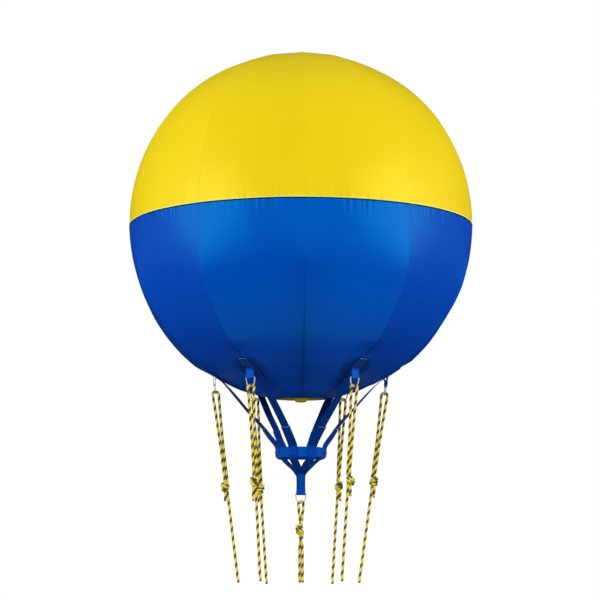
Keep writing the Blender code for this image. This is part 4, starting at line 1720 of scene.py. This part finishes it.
        loop = [polar(0.0050, a)[:2] for a in np.linspace(0.0, -math.pi, 9)]
        outer = [on_strap(0.0125), on_strap(0.0092), (0.0068, 0.0340), (0.0060, 0.027), (0.0054, 0.014)]
        inner = [(-0.0052, 0.014), (-0.0044, 0.026), (-0.0052, 0.0325), on_strap(-0.0105)]
        out, up = np.array([*outer, *loop, *inner]).T
        matrix = place_matrix(place.azimuth, RING_PIVOT_RADIUS, RING_PIVOT_Z)
        line = smooth_line(moved(np.stack([out * 0.0, -out, up], axis=1), matrix), 0.0022, 12)
        side = np.array(matrix.to_3x3() @ Vector((1.0, 0.0, 0.0)))
        top = line[:, 2].max()
        # Painted shade on the tab's top, where it runs up along the strap.
        tone = -0.45 * ease(line[:, 2], top - 0.014, top - 0.009)
        names = (f"tab_web_{place.name}", f"tab_{place.name}")
        self._web(names, (line, side, WEB_WIDTH), tone, "tab_webbing", (0.0026, 6))
        for up in (0.0275, 0.0235):
            ends = np.array([(-0.021, -0.0071, up), (0.021, -0.0071, up)])
            self.thread_rows["blue"].append(moved(np.linspace(*ends, 12), matrix))

    def _belt_line(self, azimuth: Array) -> Array:
        """Give the belt's radius at azimuths: out at the straps, and slack between them."""
        near = np.min([np.abs((azimuth - place.belt_azimuth + 180) % 360 - 180) for place in PLACES], axis=0)
        return self.belt_radius - self.belt_slack * ease(near, 11.0, 30.0)

    def _belt(self) -> None:
        """Build the belt with its overlap at the back."""
        middle = (self.belt_top_z + self.belt_bottom_z) / 2
        tall = self.belt_top_z - self.belt_bottom_z

        def around(azimuth: Array, lift: float, rise: Array | float) -> Array:
            """Give points at azimuths, out from the belt's line by a lift and at a height."""
            radius, a = self._belt_line(azimuth) + lift, np.radians(azimuth)
            return np.stack([radius * np.sin(a), -radius * np.cos(a), middle + rise], axis=1)

        def rows(start: float, end: float, count: int, lift: float) -> tuple[Array, Array]:
            """Give part of the belt's line and directions.

            Args:
                start: First azimuth in degrees.
                end: Last azimuth.
                count: Number of points.
                lift: Distance out from the belt's own line.

            Returns:
                Both, one row for each point.
            """
            azimuth = np.linspace(start, end, count, endpoint=end - start < 359.0)
            a = np.radians(azimuth)
            line = around(azimuth, lift, 0.0010 * line_noise((azimuth % 360) / 24.0, 83, 15))
            tip = 0.10 * line_noise((azimuth % 360) / 30.0, 84, 12)
            return line, np.stack([np.sin(a) * tip, -np.cos(a) * tip, np.ones_like(a)], axis=1)

        line, across = rows(0.0, 360.0, 200, 0.0)
        # Painted shade towards the belt's left and right sides.
        tone = 0.03 - 0.28 * (line[:, 0] / self.belt_radius) ** 2
        shape = (self.web_thickness, 8)
        self._web(("belt_web", "belt"), (line, across, tall), tone, "belt_webbing", shape, True)
        lap = (*rows(172.0, 214.0, 26, self.web_thickness), tall * 0.99)
        self._web(("belt_lap",), lap, 0.0, "belt_webbing", (self.web_thickness * 0.9, 8))
        box = sewn_box(177.0, 209.0, 0.4)
        for (a, p), (b, q) in zip(box, box[1:]):
            spots = around(np.linspace(a, b, 24), self.web_thickness * 1.5, np.linspace(p, q, 24) * tall)
            self.thread_rows["blue"].append(spots)

    def _tail(self) -> None:
        """Build the tail: the loop round the centre ring, sewn over the straps' ends."""
        loop = [polar(0.0052, a)[:2] for a in np.linspace(math.pi, math.tau, 9)]
        down = [(-0.0118, 0.120), (-0.0116, 0.104), (-0.0113, 0.080)]
        down += [(-0.0096, 0.058), (-0.0064, 0.038), (-0.0054, 0.016)]
        y, up = np.array([*down, *loop, *[(-y, z) for y, z in reversed(down)]]).T
        line = smooth_line(np.stack([y * 0.0, y, TAIL_PIVOT_Z + up], axis=1), 0.0028, 12)
        rise = line[:, 2] - TAIL_PIVOT_Z
        widths = WEB_WIDTH * (1.0 + 0.09 * (1.0 - ease(rise, 0.0, 0.04)) + 0.03 * ease(rise, 0.06, 0.11))
        # Painted light on the tail's legs just above its loop.
        tone = np.interp(rise, (-0.006, 0.002, 0.026, 0.034), (0.0, 0.85, 0.85, 0.0))
        across = np.array((1.0, 0.0, 0.0))
        self._web(("tail_web", "tail_loop"), (line, across, widths), tone, shape=(self.web_thickness, 8))
        spine = [(-0.0149, 0.113), (-0.0146, 0.080), (-0.0128, 0.058), (-0.0096, 0.038), (-0.0087, 0.026)]
        corners = [(-0.0155, 0.110), (0.0155, 0.110), (0.0155, 0.064), (-0.0155, 0.064), (-0.0155, 0.110)]
        for word, front in (("front", -1.0), ("back", 1.0)):
            controls = np.array([(0.0, -front * y, TAIL_PIVOT_Z + z) for y, z in spine])
            middle = smooth_line(controls, 0.004, 12)
            self._web((f"tail_cover_{word}",), (middle, across, 0.037), -0.25, "belt_webbing", (0.0026, 6))
            for (a, p), (b, q) in zip(corners, corners[1:]):
                x, up = np.linspace(a, b, 14), np.linspace(p, q, 14)
                y = np.interp(up, (0.058, 0.080, 0.113), (0.0142, 0.0161, 0.0164)) * front
                self.thread_rows["blue"].append(np.stack([x, y, TAIL_PIVOT_Z + up], axis=1))


@dataclass
class Tether:
    """A ring of bent wire and the braided rope tied through it."""

    name: str
    matrix: Matrix
    knot_depth: float
    length: float
    open_turn: float
    late_turn: float
    tail_side: tuple[float, float]
    tail_length: float
    looks: Looks
    single: bool = True
    rope_radius: float = 0.0078
    half_width: float = 0.0305
    ring_depth: float = 0.052
    corner_radius: float = 0.006
    bow_radius: float = 0.0265
    bight_radius: float = 0.018
    touching: float = 0.0076
    open_share: float = 0.62
    first_turn: float = 0.6
    knot_shift: tuple[float, float] = (0.0, 0.0)
    bar_radius: float = 0.0034
    wrap_turns: float = 2.85
    wrap_radius: float = 0.0160
    wrap_pitch: float = 0.0146
    wrap_tilt: float = 0.50
    step: float = 0.0044
    wire_sides: int = 14
    rope_sides: int = 18
    lobe_depth: float = 0.045
    lobe_pitch: float = 0.06

    def build(self) -> None:
        """Build and mount the ring and the rope."""
        body = f"tether_{self.name}"
        mount_piece(self._ring(), body, Slot.WIRE, f"ring_{self.name}")
        mount_piece(self._rope(), body, Slot.ROPE, f"rope_{self.name}")

    def _tube(self, name: str, line: Array, side: Array, size: Array, look: str, **more: object) -> Item:
        """Sweep a round tube.

        Args:
            name: The piece's name.
            line: Its middle line.
            side: A direction across it at each row.
            size: Its radius at each row and each place around.
            look: Its material's key.
            more: What else swept is given.

        Returns:
            The object, not yet on a body.
        """
        closed = bool(more.get("closed"))
        angle = np.linspace(0.0, math.tau, size.shape[1], endpoint=False)[None, :, None]
        up = np.cross(tangents(line, closed), side)
        spokes = np.cos(angle) * side[:, None] + np.sin(angle) * up[:, None]
        u = np.linspace(0.0, 1.0, size.shape[1] + 1) * (math.tau * self.bar_radius if closed else 1.0)
        rings = line[:, None] + spokes * size[..., None]
        return swept(name, line, rings, u, self.looks[look], sharp=70.0, **more)

    def _ring(self) -> Item:
        """Build the ring: a bar with bent corners, drawn in to a round bow.

        Returns:
            The object, not yet on a body.
        """
        inset = self.half_width - self.corner_radius
        turn = np.linspace(math.pi / 2, 0.0, 7)
        corner = self.corner_radius * np.stack([np.cos(turn), np.sin(turn) - 1.0], axis=1) + (inset, 0.0)
        sweep = np.linspace(math.radians(-6.0), math.radians(-174.0), 37)
        bow = self.bow_radius * np.stack([np.cos(sweep), np.sin(sweep)], axis=1)
        bow = bow + (0.0, self.bow_radius - self.ring_depth)
        leg = np.linspace(corner[-1], bow[0], 8)[1:-1]
        bar = np.stack([np.linspace(-inset, inset, 14)[1:-1], np.zeros(12)], axis=1)
        left = np.vstack([corner, leg])[::-1] * (-1.0, 1.0)
        x, z = np.vstack([corner, leg, bow, left, bar]).T
        line = moved(np.stack([x, x * 0.0, z], axis=1), self.matrix)
        side = np.cross(tangents(line, True), np.array(self.matrix.to_3x3() @ Vector((0.0, 1.0, 0.0))))
        side /= np.linalg.norm(side, axis=1, keepdims=True)
        size = np.full((len(line), self.wire_sides), self.bar_radius)
        return self._tube(f"ring_wire_{self.name}", line, side, size, "wire", closed=True)

    def _braid(self, line: Array) -> Item:
        """Sweep the braided rope along a line, with sealed round ends.

        Args:
            line: The rope's middle line.

        Returns:
            The object, not yet on a body.
        """
        along, lengths, side = tangents(line), run_length(line), np.empty_like(line)
        carried = np.cross(along[0], (0.3, 1.0, 0.2))
        for row, ahead in enumerate(along):
            carried = carried - ahead * (carried @ ahead)
            carried /= np.linalg.norm(carried)
            side[row] = carried
        from_end = np.minimum(lengths, lengths[-1] - lengths)
        round_off = np.sqrt(np.clip(1.0 - (1.0 - np.clip(from_end / 0.004, 0.0, 1.0)) ** 2.5, 0.02, 1.0))
        angle = np.linspace(0.0, math.tau, self.rope_sides, endpoint=False)
        lobed = 1.0 + self.lobe_depth * np.cos(3 * angle + lengths[:, None] * math.tau / self.lobe_pitch)
        size = self.rope_radius * round_off[:, None] * lobed
        values = {"sealed": 1.0 - ease(from_end, 0.004, 0.009)}
        return self._tube(f"rope_braid_{self.name}", line, side, size, "rope", values=values)

    def _strand(self, sign: float) -> list[Triple]:
        """Give one strand's places from the bow down to just over the knot.

        Args:
            sign: 1 for the falling strand and -1 for the rising one.

        Returns:
            The places, top down.
        """
        bight_depth = self.ring_depth - WIRE_RADIUS - 0.0003 - 0.007 + self.bight_radius
        knot_top = self.knot_depth - 0.030
        open_end = bight_depth + (knot_top - bight_depth) * self.open_share
        places = []
        for share in np.linspace(0.0, 1.0, 9):
            spread = self.bight_radius + (self.touching - self.bight_radius) * share**0.7
            started = self.first_turn + (1.0 - self.first_turn) * (1.0 - (1.0 - share) ** 4)
            turn = math.radians(90.0 + self.open_turn * started)
            places.append(polar(sign * spread, turn, -(bight_depth + (open_end - bight_depth) * share)))
        for share in np.linspace(0.0, 1.0, 9)[1:]:
            turn = math.radians(90.0 + self.open_turn + self.late_turn * share)
            places.append(polar(sign * self.touching, turn, -(open_end + (knot_top - open_end) * share)))
        return places

    def _rope(self) -> Item:
        """Build the rope: main line, loop through the ring, the knot round itself, and its tail.

        Returns:
            The object, not yet on a body.
        """
        falling, rising = self._strand(1.0), self._strand(-1.0)
        bight_depth = -falling[0][2]
        start = math.radians(90.0 + self.open_turn * self.first_turn)
        bow = []
        for a in np.linspace(math.pi, 0.0, 9)[1:-1]:
            out, up, _ = polar(self.bight_radius, a)
            bow.append(polar(out, start, up - bight_depth))
        x, y, _ = falling[-1]
        first = math.atan2(y, x)
        hand = 1.0 if self.open_turn >= 0 else -1.0
        wrap = self.wrap_pitch * self.wrap_turns
        top = -self.knot_depth + wrap / 2
        knot = []
        for share in np.linspace(0.0, 1.0, 30):
            turn = first + hand * math.tau * self.wrap_turns * share
            bulge = 1.0 + 0.10 * math.sin(3.1 * turn) + 0.06 * math.sin(math.pi * share)
            radius = self.wrap_radius * bulge * (0.62 + 0.38 * min(1.0, share * 7.0, (1.0 - share) * 7.0))
            x, y, _ = polar(radius, turn)
            drop = wrap * share + self.wrap_tilt * x * min(1.0, 8 * share, 8 * (1 - share))
            knot.append((x + self.knot_shift[0], y + self.knot_shift[1], top - drop))
        foot = self.knot_depth + 0.030
        if self.single:
            straight = [(-0.001, 0.001, -self.knot_depth), (0.0, 0.0, -foot - 0.02), (0.0, 0.0, -self.length)]
            x, y = self.tail_side
            tail = [(x * 0.85, y * 0.8, -foot), (x, y, -foot - self.tail_length * 0.45)]
            tail.append((x * 1.25, y * 1.3, -foot - self.tail_length))
        else:
            straight, tail = self._pair(foot)
        path = np.array([*reversed(straight), *reversed(rising), *bow, *falling, *knot, *tail])
        return self._braid(moved(smooth_line(path, self.step, 20), self.matrix))

    def _pair(self, below: float) -> tuple[list[Triple], list[Triple]]:
        """Give the two lines under the centre knot: crossed once, and then side by side.

        Args:
            below: How deep they start.

        Returns:
            Both lines' places, top down.
        """
        shares = np.linspace(0.0, 1.0, 6)
        crossing = [polar(0.0072, math.pi * share, -below - 0.062 * share) for share in shares]
        opposite = [(-x, -y, z) for x, y, z in crossing]
        left, right = ([(x, 0.0, -below - 0.11), (x, 0.0, -self.length)] for x in (-0.0073, 0.0093))
        return [(0.0, 0.003, -self.knot_depth), *crossing, *left], [*opposite, *right]


@dataclass
class Rigging:
    """Every ring and rope."""

    looks: Looks
    late_turns: tuple[float, ...] = (15.0, -45.0, 10.0, -25.0, 40.0, -75.0)
    tail_lengths: tuple[float, ...] = (0.080, 0.060, 0.052, 0.064, 0.050, 0.056)
    knot_shifts: tuple[float, ...] = (-0.008, 0.014, -0.0085, 0.005, -0.002, 0.006)
    tail_reach: float = 0.0150

    def build(self) -> None:
        """Build and mount the six mooring ropes and the centre one."""
        drop = RING_PIVOT_Z - ROPE_END_Z
        for place, late, tail, shift in zip(PLACES, self.late_turns, self.tail_lengths, self.knot_shifts):
            lean = math.atan2(RING_PIVOT_RADIUS - place.rope_end_radius, drop)
            matrix = place_matrix(place.azimuth, RING_PIVOT_RADIUS, RING_PIVOT_Z)
            matrix = matrix @ Matrix.Rotation(lean, 4, "X")
            depth = (RING_PIVOT_Z - place.knot_z) / math.cos(lean)
            turn = math.radians(place.azimuth)
            outwards = math.copysign(self.tail_reach, place.azimuth)
            side = (outwards * math.cos(turn), -outwards * math.sin(turn))
            length = drop / math.cos(lean)
            tether = Tether(place.name, matrix, depth, length, place.open_turn, late, side, tail, self.looks)
            tether.knot_shift = (shift * math.cos(turn), -shift * math.sin(turn))
            tether.build()
        matrix = Matrix.Translation((0.0, 0.0, TAIL_PIVOT_Z))
        depth, length = TAIL_PIVOT_Z - CENTRE_KNOT_Z + 0.005, TAIL_PIVOT_Z - ROPE_END_Z
        turns = (90.0, 130.0)
        centre = Tether("centre", matrix, depth, length, *turns, (0.0, 0.0), 0.0, self.looks, single=False)
        centre.knot_shift = (-0.008, 0.0)
        centre.build()


@dataclass
class Studio:
    """Floor, lights, surroundings and the camera."""

    distance: float = 14.083
    camera_z: float = -2.425
    camera_azimuth: float = -1.4
    pitch: float = 8.0
    yaw: float = 0.02
    lens: float = 146.56
    floor_z: float = -2.47
    key_power: float = 300.0
    low_power: float = 3.0
    front_power: float = 150.0
    side_power: float = 165.0
    fill_power: float = 30.0
    back_power: float = 260.0

    def build(self) -> None:
        """Set up everything round the balloon."""
        self._camera()
        self._floor()
        self._lights()
        self._surroundings()
        bpy.context.scene.view_settings.view_transform = "Standard"

    def _camera(self) -> None:
        """Set the camera where the photograph was taken from."""
        data = bpy.data.cameras.new("camera")
        data.lens = self.lens
        data.sensor_width = 36.0
        data.clip_end = 200.0
        item = show("camera", data)
        turn = math.radians(self.camera_azimuth)
        item.location = (self.distance * math.sin(turn), -self.distance * math.cos(turn), self.camera_z)
        item.rotation_euler = (math.radians(90.0 + self.pitch), 0.0, turn + math.radians(self.yaw))
        bpy.context.scene.camera = item

    def _floor(self) -> None:
        """Lay a plain pale floor."""
        mesh = bpy.data.meshes.new("floor")
        size = 60.0
        corners = [(-size, -size), (size, -size), (size, size), (-size, size)]
        mesh.from_pydata([(x, y, self.floor_z) for x, y in corners], [], [(0, 1, 2, 3)])
        look = bpy.data.materials.new("pale_floor")
        look.use_nodes = True
        shader = look.node_tree.nodes["Principled BSDF"].inputs
        shader["Base Color"].default_value = plain((0.17, 0.17, 0.17))
        shader["Roughness"].default_value = 0.9
        mesh.materials.append(look)
        item = show("floor", mesh)
        item.visible_glossy = False

    def _lights(self) -> None:
        """Hang soft lights at both sides, in front and behind."""
        table = (
            ("key_left", -58.0, 2.0, 8.0, 7.6, self.key_power),
            ("key_right", 58.0, 2.0, 8.0, 7.6, self.key_power * 1.03),
            ("low_left", -38.0, -52.0, 2.6, 1.8, self.low_power),
            ("low_right", 38.0, -52.0, 2.6, 1.8, self.low_power * 1.2),
            ("front", 0.0, 3.0, 11.0, 9.0, self.front_power),
            ("side_left", -98.0, 8.0, 8.0, 6.0, self.side_power),
            ("side_right", 98.0, 8.0, 8.0, 6.0, self.side_power),
            ("top_fill", 0.0, 45.0, 9.0, 6.0, self.fill_power),
            ("back_fill", 180.0, 35.0, 10.0, 10.0, self.back_power),
        )
        for name, azimuth, height, distance, size, power in table:
            data = bpy.data.lights.new(name, "AREA")
            data.shape = "DISK"
            data.size = size
            data.energy = power
            item = show(name, data)
            spot = Vector(direction(azimuth, height) * distance)
            item.location = spot
            item.rotation_euler = spot.to_track_quat("Z", "Y").to_euler()
            item.visible_glossy = name.startswith(("key", "low", "front"))
            item.visible_camera = False

    def _surroundings(self) -> None:
        """Surround the scene with white, dimmer for the light that it gives."""
        world = bpy.data.worlds.new("surroundings")
        world.use_nodes = True
        bench = NodeBench(world.node_tree)
        seen = bench.add("ShaderNodeLightPath")
        strength = bench.math("MULTIPLY_ADD", seen.outputs["Is Camera Ray"], 0.28, 0.72)
        strength = bench.math("MULTIPLY_ADD", seen.outputs["Is Glossy Ray"], -0.71, strength)
        backdrop = world.node_tree.nodes["Background"]
        backdrop.inputs["Color"].default_value = plain((1.0, 1.0, 1.0))
        bench.feed(backdrop.inputs["Strength"], strength)
        world.cycles.sampling_method = "NONE"
        bpy.context.scene.world = world


def main() -> None:
    """Build the whole dressed balloon."""
    logging.basicConfig(level=logging.INFO, format="%(name)s: %(message)s")
    looks = Looks(EffectGroups())
    panels = Panels(looks)
    panels.build()
    Seams(looks, panels).build()
    EndCovers(looks).build()
    Harness(looks, StitchRows()).build()
    Rigging(looks).build()
    Studio().build()


if __name__ == "__main__":
    main()
